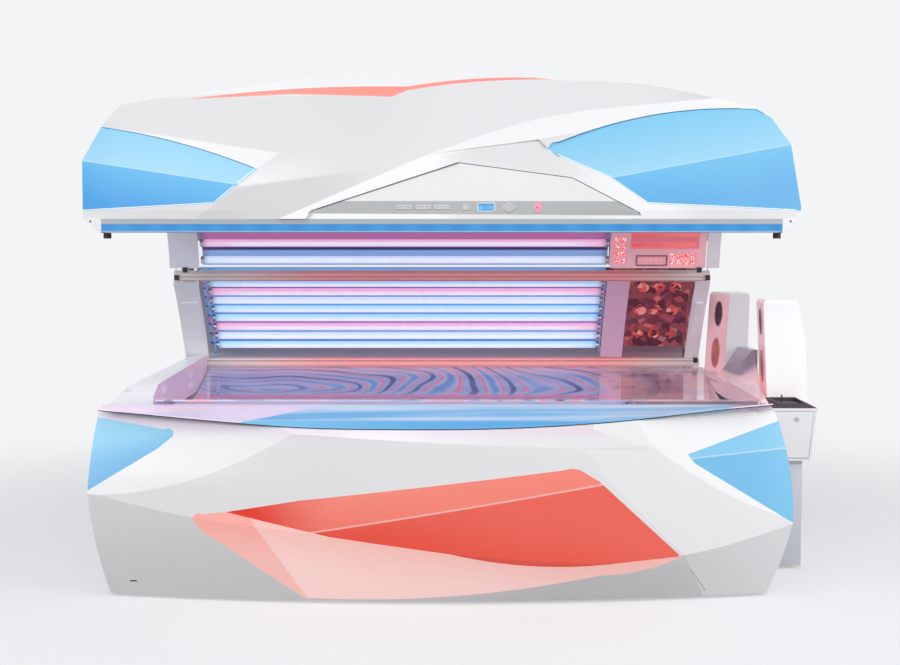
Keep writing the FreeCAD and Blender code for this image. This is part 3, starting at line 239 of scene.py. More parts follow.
LACQUER = (0.875, 0.875, 0.88), (0.86, 0.86, 0.87), 0.30
paint(moulded("white_gloss", *LACQUER, coat=0.15), "bar_end_caps", "service_box", "service_door")
# The corner panel is the same white lacquer, painted lighter as a highlight.
paint(moulded("white_corner_painted_bright", (0.92, 0.92, 0.925), (0.90, 0.90, 0.91), 0.30, coat=0.15), "base_corner_panel")
paint(moulded("white_rear", (0.80, 0.80, 0.81), (0.74, 0.74, 0.76), 0.4, grain=320), "base_rear_shell",
      "wall_rear_cover")


def side_of(tree, spot, start, end):
    """Distance from a line drawn on the front through two points of (x, z); positive on its left."""
    run_x, run_z = end[0] - start[0], end[1] - start[1]
    length = math.hypot(run_x, run_z)
    across, rise = -run_z / length, run_x / length
    along_both = maths(tree, "ADD", times(tree, spot[0], across), times(tree, spot[2], rise))
    return maths(tree, "SUBTRACT", along_both, across * start[0] + rise * start[1])


def patch(tree, spot, lines, join="MINIMUM", blur=0.004):
    """1 on the left of the lines, or of any of them where join is MAXIMUM, and 0 elsewhere."""
    inside = side_of(tree, spot, *lines[0])
    for line in lines[1:]:
        inside = maths(tree, join, inside, side_of(tree, spot, *line))
    return between(tree, inside, 0.0, blur)


STRAP_EDGE = [(-0.604, 1.276), (-0.134, 1.482), (0.070, 1.557), (0.231, 1.608), (0.394, 1.639),
              (0.729, 1.675)]
FOLD, FOLD_END, FOLD_TIP, FOLD_FOOT = (-0.754, 1.378), (-0.286, 1.441), (-0.614, 1.495), (-0.870, 1.288)
WINDOW_NOSE = (-0.688, 1.440)
LEFT_CREASE = ((-1.299, 1.473), (-0.761, 1.390))
WEDGE_TOP = (FOLD_TIP, (-1.250, 1.594))
RIM_LINES = [((-0.957, 1.687), (-0.251, 1.689)), ((-0.201, 1.713), (0.149, 1.749))]
BROW_LINE = ((0.212, 1.537), (-0.089, 1.485))


def painted_canopy_shading(tree, colour):
    """The strap over the console stays white and the covers round it are painted grey as shade, darker
    towards both ends: painted lighter where they look up, beside the long fold, on the wedge and along the
    rim, painted darker under the long fold, on the brow and low at the right, and a plain grey on the rear."""
    spot = axes(tree)
    x, y, z = spot
    over = patch(tree, spot, list(zip(STRAP_EDGE, STRAP_EDGE[1:])), "MAXIMUM")
    painted_grey = blend(tree, softly(tree, x, 0.55, 1.0), (0.69, 0.69, 0.70), (0.60, 0.60, 0.61))
    painted_grey = blend(tree, softly(tree, x, -0.4, 0.0, 1.0, 0.0), painted_grey, (0.65, 0.65, 0.655))
    toned = blend(tree, over, colour, painted_grey)
    lift = side_of(tree, spot, FOLD, FOLD_END)
    beside = times(tree, patch(tree, spot, [(FOLD, FOLD_END), (WINDOW_NOSE, FOLD)]),
                   softly(tree, lift, 0.0, 0.11, 0.85, 0.0), softly(tree, x, -0.70, -0.36, 1.0, 0.0))
    wedge = patch(tree, spot, [WEDGE_TOP, (WINDOW_NOSE, FOLD_TIP), LEFT_CREASE])
    rim = patch(tree, spot, RIM_LINES, blur=0.02)
    bright = softly(tree, facing(tree, (0, 0, 1)), 0.60, 0.95)
    for lit_part in (beside, wedge, rim):
        bright = maths(tree, "MAXIMUM", bright, lit_part)
    toned = blend(tree, bright, toned, (0.78, 0.78, 0.79))
    under = times(tree, patch(tree, spot, [(FOLD_END, FOLD), (FOLD, FOLD_FOOT)]),
                  softly(tree, x, -0.52, -0.24, 0.8, 0.0), over)
    toned = blend(tree, under, toned, (0.56, 0.56, 0.565))
    brow = times(tree, patch(tree, spot, [BROW_LINE], blur=0.003), softly(tree, x, -0.12, 0.02, 0.0, 0.9),
                 softly(tree, x, 0.26, 0.50, 1.0, 0.0))
    low_right = times(tree, softly(tree, x, 0.62, 0.80, 0.0, 0.7), between(tree, z, 1.32, 1.36, 1.0, 0.0))
    toned = blend(tree, maths(tree, "MAXIMUM", brow, low_right), toned, (0.66, 0.66, 0.67))
    return blend(tree, softly(tree, y, -0.36, -0.12), toned, (0.72, 0.72, 0.73))


# The canopy's covers are painted lighter and darker in patches, as light and shade on their facets.
paint(moulded("canopy_white", (0.82, 0.82, 0.825), (0.80, 0.80, 0.81), 0.30, coat=0.12, tinge=painted_canopy_shading),
      "canopy_crown", "canopy_fascia")


def front_shading_and_lip(tree, colour):
    """Lavender on the rolled lip under the seam, rosier towards the head end; a painted highlight whiter
    high at the foot end and painted shade greyer towards the floor."""
    x, _, z = axes(tree)
    foot_end = times(tree, softly(tree, x, -0.95, -0.45, 1.0, 0.0), softly(tree, z, 0.38, 0.46))
    colour = blend(tree, foot_end, colour, (0.95, 0.95, 0.955))
    colour = blend(tree, softly(tree, z, 0.04, 0.36, 0.7, 0.0), colour, (0.74, 0.74, 0.745))
    lip = blend(tree, between(tree, x, 0.0, 0.7), shade(236, 222, 240), shade(250, 222, 228))
    return blend(tree, softly(tree, z, 0.545, 0.60, 0.0, 0.8), colour, lip)


paint(moulded("white_front", *LACQUER, coat=0.15, tinge=front_shading_and_lip), "base_front_panel")


def touch(carrier, start, direction):
    """Where a ray first meets a node, and the outward direction there; None where it misses."""
    found, place, outward, _ = nodes[carrier].ray_cast(Vector(start), Vector(direction))
    if not found:
        return None
    if outward.dot(Vector(direction)) > 0:
        outward.negate()
    return place, outward


BEFORE_BED, BEHIND_BED, OVER_BED = -2, 2, 2


def from_front(carrier, x, z):
    return touch(carrier, (x, BEFORE_BED, z), (0, 1, 0))


def solid_piece(name, points, faces, material, body):
    """Mesh of points and faces as a piece that rides on a body, in the given material."""
    mesh = bpy.data.meshes.new(name)
    mesh.from_pydata([tuple(point) for point in points], [], faces)
    mesh.materials.append(material)
    item = bpy.data.objects.new(name, mesh)
    bpy.context.collection.objects.link(item)
    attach(item, body)
    return item


BEAD_PROFILE = ((-0.5, 0), (-0.3, 1), (0.3, 1), (0.5, 0))


def bead(name, carrier, line, width, height, material, body, step=0.02):
    """Low rounded bead on a node's front, along corners of (x, z): a scored joint or groove, painted shade
    in a gap or a painted highlight along an edge. It follows the surface under it."""
    spots = []
    for (x0, z0), (x1, z1) in zip(line, line[1:]):
        count = max(1, round(math.hypot(x1 - x0, z1 - z0) / step))
        spots += [(x0 + (x1 - x0) * i / count, z0 + (z1 - z0) * i / count) for i in range(count)]
    hits = [from_front(carrier, x, z) for x, z in spots + [line[-1]]]
    points, faces, previous, run = [], [], None, None
    for here, after in zip(hits, hits[1:] + hits[-1:]):
        if here is None:
            previous = None
            continue
        place, outward = here
        if after and after is not here:
            run = after[0] - place
        side = outward.cross(run).normalized()
        start = len(points)
        for across, rise in BEAD_PROFILE:
            points.append(place + side * width * across + outward * height * rise)
        if previous is not None:
            faces += [(previous + i, previous + i + 1, start + i + 1, start + i) for i in range(3)]
        previous = start
    solid_piece(name, points, faces, material, body)


joint_dark = moulded("joint_dark", shade(120, 122, 126), shade(100, 102, 106), 0.6, grain=600)
bead("corner_joint", "base_corner_panel", [(0.7145, 0.160), (0.758, 0.095), (0.803, 0.030)], 0.0016, 0.0002,
     joint_dark, "base")
black = moulded("black", (0.022, 0.022, 0.024), (0.012, 0.012, 0.013), 0.5, grain=700, depth=0.0002)
bead("panel_key_slot", "base_front_panel", [(-1.137, 0.0572), (-1.113, 0.0580)], 0.005, 0.0006, black, "base",
     step=0.004)

# -------------------- lit windows of the shell
# Coloured acrylic panels, flush with the covers and lit from behind by strips of diodes. Their colour
# is painted paler over each crease and deeper towards their lower edges, as light and shade on the facets.


def lit_panel(name, glow, shades):
    """Glowing acrylic; shades gives its colour from the place on it."""
    material, tree = blank(name)
    relief = bumps(tree, noise(tree, 90, 1.0), 0.0001, 0.4)
    return finished(material, surface(tree, shades(tree, axes(tree)), 0.22, glow, 0.36, Normal=relief,
                                      Coat_Weight=0.15, Coat_Roughness=0.06))


def bright_line(tree, distance, start, end, colour, light):
    """Glint along a crease, at its full 35% within start of it and gone beyond end."""
    return blend(tree, between(tree, maths(tree, "ABSOLUTE", distance), start, end, 0.35, 0.0), colour, light)


def faceted(deep, pale, start, facets, crease=None):
    """Shades: each facet of (start, end, amount, softness) paints its upper side paler by an amount, as
    light and shade on the facets; a crease gets a painted highlight.
    """
    def shades(tree, spot):
        level = uneven(tree, start - 0.07, start + 0.07, 2.2, 2.0)
        for first, last, amount, softness in facets:
            distance = side_of(tree, spot, first, last)
            step = softly(tree, distance, -softness / 2, softness / 2, 0.0, amount)
            level = maths(tree, "ADD", level, step)
        colour = blend(tree, level, deep, pale)
        if crease:
            colour = bright_line(tree, side_of(tree, spot, *crease), 0.0012, 0.004, colour, (1, 1, 1))
        return colour
    return shades


RIGHT_CREASE = ((0.480, 1.412), (1.104, 1.529))
SKY_DEEP, SKY_MID, SKY_PALE = shade(58, 158, 226), shade(94, 186, 238), shade(160, 216, 244)


def canopy_shades(tree, spot):
    """Painted light and shade on two facets of each window: a pale one over the crease and a deep one that
    darkens downwards, with a painted highlight along the crease.
    """
    rise = maths(tree, "MINIMUM", side_of(tree, spot, *LEFT_CREASE), side_of(tree, spot, *RIGHT_CREASE))
    soft_rise = maths(tree, "ADD", rise, uneven(tree, -0.02, 0.02, 2.4, 2.0))
    low = blend(tree, between(tree, soft_rise, -0.13, 0.0), SKY_DEEP, SKY_MID)
    low = blend(tree, between(tree, spot[0], 0.0, 0.9, 0.0, 0.35), low, SKY_PALE)
    high = blend(tree, between(tree, soft_rise, 0.0, 0.17), SKY_PALE, shade(128, 204, 240))
    toned = blend(tree, between(tree, rise, -0.0015, 0.0015), low, high)
    return bright_line(tree, rise, 0.0, 0.003, toned, (0.9, 0.97, 1.0))


paint(lit_panel("canopy_blue", 0.28, canopy_shades), "canopy_windows")


def streaks(tree, scale, start, end):
    """Lamps that show through a sloping surface as long soft streaks, from 0 to 1."""
    return between(tree, noise(tree, 1.0, 2.0, where=stretched(tree, scale)), start, end)


BLUE_CREASE = ((0.783, 0.489), (1.062, 0.506))
LEDGE_BOTTOM = 0.612


def base_shades(tree, spot):
    """Painted light and shade by facet: the head end's window is creased, with a painted highlight along
    the crease, the left one is painted paler upwards, and the ledge's shows lamps as painted streaks.
    """
    facets = [((-1.26, 0.42), (-0.98, 0.55), 0.34, 0.16), ((-1.26, 0.50), (-0.98, 0.53), 0.44, 0.10),
              (*BLUE_CREASE, 0.30, 0.006), ((0.5, 1.0), (0.5, 0.0), 0.62, 0.1),
              ((1.02, 0.0), (1.02, 1.0), -0.16, 0.3)]
    colour = faceted(shade(62, 164, 230), shade(142, 214, 248), 0.12, facets, BLUE_CREASE)(tree, spot)
    ledge = blend(tree, streaks(tree, (1.1, 26, 26), 0.35, 0.68), shade(120, 188, 236), shade(206, 228, 246))
    on_ledge = times(tree, between(tree, spot[2], LEDGE_BOTTOM, LEDGE_BOTTOM + 0.004),
                     between(tree, spot[0], -0.86, -0.85))
    return blend(tree, on_ledge, colour, ledge)


paint(lit_panel("base_blue", 0.28, base_shades), "base_blue_windows")

# The red and blush windows are painted paler and deeper by facet, as light and shade, and the red one has a
# painted highlight along its crease.
RED_CREASE = ((-0.499, 0.253), (0.392, 0.399))
red_facets = [(*RED_CREASE, 0.40, 0.008), ((-0.80, 0.30), (0.30, 0.50), 0.25, 0.30),
              ((-0.66, 0.0), (-0.56, 0.6), -0.85, 0.40), ((0.10, 0.2), (0.60, 0.10), 0.22, 0.25)]
red_shades = faceted(shade(224, 46, 10), shade(248, 146, 130), 0.10, red_facets, RED_CREASE)
paint(lit_panel("deep_red", 0.45, red_shades), "red_window")
blush_facets = [((-0.532, 0.024), (-0.714, 0.293), -0.42, 0.006), ((-0.80, 0.24), (0.60, 0.06), -0.45, 0.20)]
blush_shades = faceted(shade(246, 168, 158), shade(252, 222, 218), 0.75, blush_facets)
paint(lit_panel("blush", 0.52, blush_shades), "blush_window")


EDGE_INSET = 0.0025
ABOVE_BED = 1.8


def upper_edge(carrier, start, end, count=26):
    """Points of (x, z) just under the top edge of a node's front, above a line that lies on it."""
    line = []
    for i in range(count + 1):
        x = start[0] + (end[0] - start[0]) * i / count
        on_it, off_it = start[1] + (end[1] - start[1]) * i / count, ABOVE_BED
        for _ in range(14):
            z = (on_it + off_it) / 2
            if from_front(carrier, x, z):
                on_it = z
            else:
                off_it = z
        line.append((x, on_it - EDGE_INSET))
    return line


# Dark blue beads under the windows' top edges are painted shadow in the gap; pale beads along their lower
# edges are painted highlights.
window_edge_shadow = moulded("window_edge_shadow", shade(30, 105, 175), shade(24, 90, 160), 0.4, grain=600)
window_glint = moulded("window_glint", (0.95, 0.97, 1.0), (0.9, 0.93, 0.98), 0.25, grain=600, coat=0.3)
EDGES = (("gap_shadow_left", upper_edge("canopy_windows", (-1.24, 1.50), (-0.705, 1.425))),
         ("gap_shadow_right", upper_edge("canopy_windows", (0.300, 1.505), (1.02, 1.57))),
         ("lip_left", [(-0.702, 1.437), (-0.826, 1.3285), (-1.27, 1.305)]),
         ("lip_right", [(0.275, 1.500), (0.300, 1.4875), (0.466, 1.4145), (0.588, 1.3285), (1.09, 1.306)]))
for name, line in EDGES:
    colour, finish = (window_edge_shadow, "blue_window") if name.startswith("gap") else (window_glint, "white_shell")
    bead("canopy_window_" + name, "canopy_windows", line, 0.003, 0.0003, colour, "canopy")

# -------------------- coral trim
# A narrow coral strip of dyed plastic, clipped into the crown over the left half of the canopy, with
# a smooth glossy face.
paint(moulded("coral", shade(250, 152, 140), shade(240, 134, 122), 0.3, coat=0.2), "canopy_trim")

# -------------------- control console
# A grey wedge of satin plastic let into the canopy's brow. Its keys lie in a darker band along the
# lower edge; each has a raised pale outline, moulded on, and goes in with its key.
BAND_TOP = 1.333
KEY_ROW = 1.313


def console_tones(tree, colour):
    step = between(tree, axes(tree)[2], BAND_TOP - 0.001, BAND_TOP + 0.001)
    return blend(tree, step, shade(166, 168, 169), colour)


paint(moulded("console_satin", shade(228, 227, 226), shade(216, 215, 214), 0.36, coat=0.1,
              tinge=console_tones), "console_panel")
# The joint round the console is a grey bead, painted dark as the shade in its gap.
console_gap_shade = moulded("console_gap_shade", shade(104, 112, 112), shade(88, 94, 94), 0.6, grain=600)
CONSOLE_EDGE = [(-0.498, 1.2905), (-0.501, 1.3015), (-0.027, 1.4585), (0.342, 1.4095), (0.557, 1.2965),
                (0.560, 1.2905)]
bead("console_joint", "console_panel", CONSOLE_EDGE, 0.0035, 0.0003, console_gap_shade, "canopy")

paint(moulded("key_satin", shade(186, 186, 187), shade(172, 172, 174), 0.36, grain=900), "key_speed_low",
      "key_speed_mid", "key_speed_high", "key_face_lamp", "key_select")
paint(moulded("key_rose", shade(244, 150, 176), shade(232, 128, 160), 0.35, grain=900), "key_start")


def ring_faces(count, levels, start=0):
    """Faces that join rings of points, each with the ring after it."""
    return [(low + i, low + (i + 1) % count, low + count + (i + 1) % count, low + count + i)
            for low in range(start, start + levels * count, count) for i in range(count)]


def rounded(width, height, radius, corner=4):
    """Outline of a rectangle with round corners, as points from its middle."""
    ring = []
    for quarter, (i, j) in enumerate(((1, 1), (-1, 1), (-1, -1), (1, -1))):
        for step in range(corner + 1):
            angle = math.radians(90 * (quarter + step / corner))
            ring.append((i * (width / 2 - radius) + radius * math.cos(angle),
                         j * (height / 2 - radius) + radius * math.sin(angle)))
    return ring


def upright_on(outward):
    """Directions up and across on a face that looks outward."""
    upright = (Vector((0, 0, 1)) - outward * outward.z).normalized()
    return upright, upright.cross(outward)


def relief_on(name, place, outward, outline, height, material, body, finish, rim=0.0, shift=(0, 0)):
    """Raised plate on a flat face, or with a rim a raised frame; its upright is the face's own."""
    outward = outward.normalized()
    upright, across = upright_on(outward)
    loops = [(outline, 0), (outline, height)]
    if rim:
        width = max(a for a, b in outline) - min(a for a, b in outline)
        tall = max(b for a, b in outline) - min(b for a, b in outline)
        inner = [(a * (1 - 2 * rim / width), b * (1 - 2 * rim / tall)) for a, b in outline]
        loops += [(inner, height), (inner, 0)]
    points = [place + across * (a + shift[0]) + upright * (b + shift[1]) + outward * rise
              for ring, rise in loops for a, b in ring]
    count = len(outline)
    faces = ring_faces(count, len(loops) - 1)
    if not rim:
        faces.append(tuple(range(count, 2 * count)))
    solid_piece(name, points, faces, material, body)


key_outline = moulded("key_outline", shade(228, 228, 230), shade(214, 214, 217), 0.3, grain=900)
key_star = moulded("key_star", shade(196, 44, 104), shade(176, 34, 90), 0.4, grain=900)
rose_glow = moulded("rose_glow", shade(226, 158, 184), shade(214, 146, 172), 0.4, grain=900)


MARK_HEIGHT = 0.0003


def key_middle(key):
    low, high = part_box(key)
    return from_front(key, (low.x + high.x) / 2, KEY_ROW)


def mark(key, suffix, outline, rim=0.0, shift=(0, 0), material=key_outline, finish="key_silver"):
    """Raised mark in the middle of a key, which goes in with it."""
    relief_on(key + suffix, *key_middle(key), outline, MARK_HEIGHT, material, key, finish, rim, shift)


for bars, key in enumerate(("key_speed_low", "key_speed_mid", "key_speed_high"), 1):
    mark(key, "_outline", rounded(0.048, 0.0145, 0.003), rim=0.0013)
    for i in range(bars):
        mark(key, f"_bar_{i + 1}", rounded(0.007, 0.0018, 0.0006, 2),
             shift=((i - (bars - 1) / 2) * 0.010, -0.0025))
mark("key_face_lamp", "_outline", rounded(0.0195, 0.0195, 0.003), rim=0.0013)
mark("key_face_lamp", "_ring", rounded(0.009, 0.009, 0.0045), rim=0.0012)
mark("key_select", "_outline", [(0.0235, 0), (0, 0.0175), (-0.0235, 0), (0, -0.0175)], rim=0.0020)
mark("key_start", "_outline", rounded(0.0195, 0.0195, 0.00975, 6), rim=0.0010, finish="key_pink")
place, outward = key_middle("key_start")
relief_on("key_start_surround", place - outward * 0.0015, outward, rounded(0.038, 0.038, 0.019, 6), 0.0004,
          rose_glow, "canopy", "key_pink", rim=0.0080)
star = [(reach * math.cos(math.pi * tip / 4), reach * math.sin(math.pi * tip / 4))
        for tip, reach in enumerate((0.0042, 0.0019) * 4)]
mark("key_start", "_star", star, material=key_star, finish="key_pink")


def lit_plastic(name, low, high, glow, beat_scale, roughness=0.3):
    """Diffusing plastic with diodes behind it: brighter patches at an even pitch along x."""
    material, tree = blank(name)
    beat = maths(tree, "SINE", times(tree, axes(tree)[0], beat_scale))
    bright = maths(tree, "ADD", between(tree, beat, -1, 1, 0.0, 0.6), uneven(tree, 0.0, 0.4, 12))
    return finished(material, surface(tree, blend(tree, bright, low, high), roughness, glow, 0.6))


paint(lit_plastic("screen", shade(84, 186, 240), shade(108, 200, 246), 0.45, 300, 0.15), "display_window")
screen_ink = moulded("screen_ink", shade(28, 96, 168), shade(22, 84, 154), 0.4, grain=900)
place, outward = from_front("display_window", 0.061, KEY_ROW)
relief_on("display_frame", place, outward, rounded(0.0575, 0.0315, 0.0015, 2), 0.0008, key_outline, "canopy",
          "key_silver", rim=0.0022)
DISPLAY_BARS = ((0, 0.0085, 0.044), (-0.008, 0.001, 0.007), (0.005, 0.001, 0.010), (0, -0.0075, 0.030))
for number, (along, up, width) in enumerate(DISPLAY_BARS, 1):
    relief_on(f"display_bar_{number}", place, outward, rounded(width, 0.0026, 0.0008, 2), MARK_HEIGHT,
              screen_ink, "canopy", "display", shift=(along, up))

# -------------------- light bar
# The canopy's lower edge is a grey anodised bar with a blue diode strip let into its front. White
# caps close it, each held by one dark screw, and rubber bumpers under it meet the ledge.
paint(moulded("bar_grey", shade(178, 186, 189), shade(168, 177, 181), 0.34, grain=260, coat=0.1,
              stretch=(0.05, 1, 1)), "light_bar")
paint(lit_plastic("blue_strip", shade(44, 140, 214), shade(62, 158, 228), 0.55, 60), "light_strip")
paint(moulded("plum_rubber", shade(62, 44, 58), shade(48, 34, 46), 0.7, grain=900, depth=0.0003),
      "bumper_feet")
strip_glint = moulded("strip_glint", shade(196, 222, 244), shade(180, 210, 238), 0.3, grain=600)
strip_line = [(x, 1.2352) for x in (-1.204, -0.6, 0.0, 0.5, 1.039)]
bead("strip_lower_edge", "light_strip", strip_line, 0.0022, 0.0004, strip_glint, "canopy",
     step=0.04)
for side, x in (("left", -1.242), ("right", 1.068)):
    relief_on("cap_screw_" + side, *from_front("bar_end_caps", x, 1.268), rounded(0.007, 0.007, 0.0035, 3),
              0.0006, black, "canopy", "rubber_black")

# -------------------- lamps
# Fluorescent tubes behind clear acrylic, in three banks on curves: bench, wall and canopy. Cold
# blue, lilac and pink tubes take turns, each in its own bright reflector trough, with electrodes
# that glow less and steel sleeves at both ends.
SKY, ICE, LILAC, PINK = shade(140, 206, 246), shade(186, 218, 244), shade(218, 206, 232), shade(240, 144, 180)
FIRST_END, LAST_END = -1.020, 0.560
TUCKED_END = 0.966, 0.970
LAMP_RADIUS = 0.014
BEHIND_SHEET = 0.006 + 0.010 + LAMP_RADIUS
# Each bank: three points of (y, z) on its sheet, the angle kept free at both edges, and its tints.
BANKS = {
    "wall": (((0.578, 0.712), (0.457, 0.880), (0.318, 1.034)), 0.022,
             (SKY, ICE, PINK, SKY, SKY, ICE, PINK, SKY)),
    "canopy": (((-0.565, 1.246), (-0.190, 1.440), (0.205, 1.090)), 0.060,
               (ICE, PINK, LILAC, SKY) * 3 + (LILAC, SKY, PINK, ICE)),
    "bench": (((-0.578, 0.671), (-0.009, 0.579), (0.560, 0.671)), 0.035,
              (PINK, LILAC, SKY, ICE, LILAC, PINK, SKY, ICE, LILAC, SKY, PINK, ICE, SKY, LILAC, PINK)),
}


def ramp(tree, factor, stops, interpolation="LINEAR"):
    """Colour ramp with stops of (position, colour)."""
    node = add(tree, "ValToRGB", i0=factor)
    node.color_ramp.interpolation = interpolation
    elements = node.color_ramp.elements
    while len(elements) < len(stops):
        elements.new(0.5)
    for element, (position, colour) in zip(elements, stops):
        element.position = position
        element.color = (*colour, 1)
    return node.outputs["Color"]


def circle_through(first, middle, last):
    """Centre and radius of the circle through three points of (y, z)."""
    (ax, ay), (bx, by), (cx, cy) = first, middle, last
    d = 2 * (ax * (by - cy) + bx * (cy - ay) + cx * (ay - by))
    a2, b2, c2 = ax * ax + ay * ay, bx * bx + by * by, cx * cx + cy * cy
    y = (a2 * (by - cy) + b2 * (cy - ay) + c2 * (ay - by)) / d
    z = (a2 * (cx - bx) + b2 * (ax - cx) + c2 * (bx - ax)) / d
    return Vector((0, y, z)), math.hypot(ax - y, ay - z)


def bank_layout(bank):
    """Centre, radius, middle direction, sideways direction and the angles of the first and last tube."""
    arc, margin, _ = BANKS[bank]
    centre, radius = circle_through(*arc)
    middle = (Vector((0, *arc[1])) - centre).normalized()
    sideways = Vector((0, -middle.z, middle.y))
    angles = []
    for y, z in (arc[0], arc[2]):
        arm = Vector((0, y, z)) - centre
        angles.append(math.atan2(arm.dot(sideways), arm.dot(middle)))
    gap = math.copysign(margin, angles[1] - angles[0])
    return centre, radius, middle, sideways, angles[0] + gap, angles[1] - gap


def tube_tints(tree, bank):
    """Tint of the tube that a point belongs to, its distance from that tube's line, and its arm."""
    centre, _, middle, sideways, first, last = bank_layout(bank)
    tints = BANKS[bank][2]
    count = len(tints)
    arm = add(tree, "VectorMath", {"operation": "SUBTRACT"}, i0=place_of(tree), i1=centre).outputs[0]
    angle = maths(tree, "ARCTAN2", dot(tree, arm, sideways), dot(tree, arm, middle))
    number = add(tree, "MapRange", {"clamp": False}, Value=angle, From_Min=first, From_Max=last, To_Min=0.5,
                 To_Max=count - 0.5).outputs[0]
    share = maths(tree, "DIVIDE", maths(tree, "FLOOR", number), count)
    stops = [(i / count - 0.25 / count if i else 0, tint) for i, tint in enumerate(tints)]
    off_line = maths(tree, "ABSOLUTE", maths(tree, "SUBTRACT", maths(tree, "FRACT", number), 0.5))
    return ramp(tree, share, stops, "CONSTANT"), off_line, arm


def end_fade(tree, low, reach):
    """Falls from 1 to low within reach of both ends of the tubes."""
    x = axes(tree)[0]
    return times(tree, between(tree, x, FIRST_END + 0.01, FIRST_END + reach, low, 1.0),
                 between(tree, x, LAST_END - 0.01, LAST_END - reach, low, 1.0))


def tube_glass(bank, power, beyond=None):
    """Lit tube: a pale core where the glass looks at the sheet, its tint at the sides, deeper at the
    ends. Beyond gives the look of the pieces past the tubes."""
    material, tree = blank(bank + "_tubes")
    tint, _, arm = tube_tints(tree, bank)
    flat = add(tree, "VectorMath", {"operation": "MULTIPLY"}, i0=arm, i1=(0, 1, 1)).outputs[0]
    inward = add(tree, "VectorMath", {"operation": "NORMALIZE"}, i0=flat).outputs[0]
    core = times(tree, softly(tree, facing(tree, inward), -0.55, -0.98), end_fade(tree, 0.25, 0.16), 0.8)
    colour = blend(tree, core, tint, (0.93, 0.92, 0.95))
    dust = uneven(tree, 0.18, 0.34, 40)
    glow = times(tree, end_fade(tree, 0.3, 0.03), power)
    shader = surface(tree, colour, dust, glow, Base_Color=(0.5, 0.51, 0.54))
    if beyond:
        past = maths(tree, "GREATER_THAN", axes(tree)[0], LAST_END + 0.05)
        shader = mix_shader(tree, past, shader, beyond(tree))
    return finished(material, shader)


def cells(tree, scale, **settings):
    """A random value from 0 to 1 in each cell of a pattern."""
    colour = add(tree, "TexVoronoi", settings, Vector=place_of(tree), Scale=scale).outputs["Color"]
    return add(tree, "SeparateColor", Color=colour).outputs[0]


def cut_glass(tree):
    """Cups of the shoulder reflectors: red glints on dark facets."""
    colour = ramp(tree, cells(tree, 55.0, distance="CHEBYCHEV"),
                  [(0.0, shade(96, 52, 60)), (0.3, shade(190, 92, 88)), (0.55, shade(232, 120, 104)),
                   (0.8, shade(250, 190, 180)), (1.0, shade(255, 250, 246))], "CONSTANT")
    return surface(tree, colour, 0.12, 0.5, Metallic=0.4)


def reflector_metal(bank, power, beyond, glints=0.0):
    """Bright trough sheet: it glows in each tube's tint as painted lamp light and is painted dark in the
    folds as shade. Beyond the tubes it is plain, or metal with painted rosy glints in small facets, and its
    end that is tucked behind the corner cover is white."""
    material, tree = blank(bank + "_troughs")
    x = axes(tree)[0]
    tint, off_line, _ = tube_tints(tree, bank)
    trough = blend(tree, 0.55, tint, shade(70, 92, 140))
    glow = blend(tree, between(tree, off_line, 0.38, 0.45, 1.0, 0.0), shade(40, 56, 104), trough)
    painted_glints = ramp(tree, cells(tree, 34.0),
                    [(0.0, beyond), (0.35, shade(112, 74, 90)), (0.55, shade(188, 130, 140)),
                     (0.8, shade(220, 140, 140)), (0.93, shade(248, 196, 190))], "CONSTANT")
    covered = between(tree, x, LAST_END, LAST_END + 0.01, 1.0, 0.0)
    colour = blend(tree, covered, blend(tree, glints, beyond, painted_glints), glow)
    colour = blend(tree, between(tree, x, *TUCKED_END), colour, (0.85, 0.85, 0.86))
    lit = maths(tree, "ADD", times(tree, covered, uneven(tree, 0.86, 1.0, 9.0)), glints * 0.5)
    return finished(material, surface(tree, colour, 0.3, times(tree, lit, power), Metallic=0.6))


def oval(width, height, count):
    """Points round an oval, from its middle."""
    turns = [2 * math.pi * i / count for i in range(count)]
    return [(width / 2 * math.cos(turn), height / 2 * math.sin(turn)) for turn in turns]


def smooth_sides(item):
    for face in item.data.polygons:
        face.use_smooth = len(face.vertices) == 4


def sleeves(name, bank, material, body):
    """Steel sleeves round both ends of every tube of a bank, in one mesh."""
    centre, radius, middle, sideways, first, last = bank_layout(bank)
    count = len(BANKS[bank][2])
    sides, wide, length = 16, 2 * (LAMP_RADIUS + 0.0007), 0.012
    points, faces = [], []
    for tube in range(count):
        angle = first + (last - first) * tube / (count - 1)
        arm = middle * math.cos(angle) + sideways * math.sin(angle)
        axis = centre + arm * (radius + BEHIND_SHEET)
        for x in (FIRST_END, LAST_END - length):
            faces += ring_faces(sides, 1, len(points))
            points += [(end, axis.y + a, axis.z + b) for end in (x, x + length)
                       for a, b in oval(wide, wide, sides)]
    smooth_sides(solid_piece(name, points, faces, material, body))


bright_steel = moulded("bright_steel", (0.62, 0.62, 0.64), (0.5, 0.5, 0.52), 0.16, grain=300, metallic=1.0)
for bank, body in (("wall", "base"), ("canopy", "canopy"), ("bench", "base")):
    sleeves(bank + "_tube_sleeves", bank, bright_steel, body)
paint(tube_glass("wall", 0.82, cut_glass), "wall_lamps")
paint(tube_glass("canopy", 0.78), "canopy_lamps")
paint(tube_glass("bench", 0.5), "bench_lamps")
paint(reflector_metal("wall", 0.36, shade(150, 104, 122), 0.9), "wall_shell")
paint(reflector_metal("canopy", 0.40, shade(170, 120, 136)), "canopy_reflector")
paint(reflector_metal("bench", 0.4, shade(140, 120, 140)), "bench_reflector")

# -------------------- clear sheets
# Bent sheets of clear acrylic in front of the lamps. The wall, canopy and face sheets are plain and
# thin; the one lain on is thicker and drawn into a shallow dish, and carries a painted film of marbled
# reflections of the lamps.


ACRYLIC_IOR = 1.49


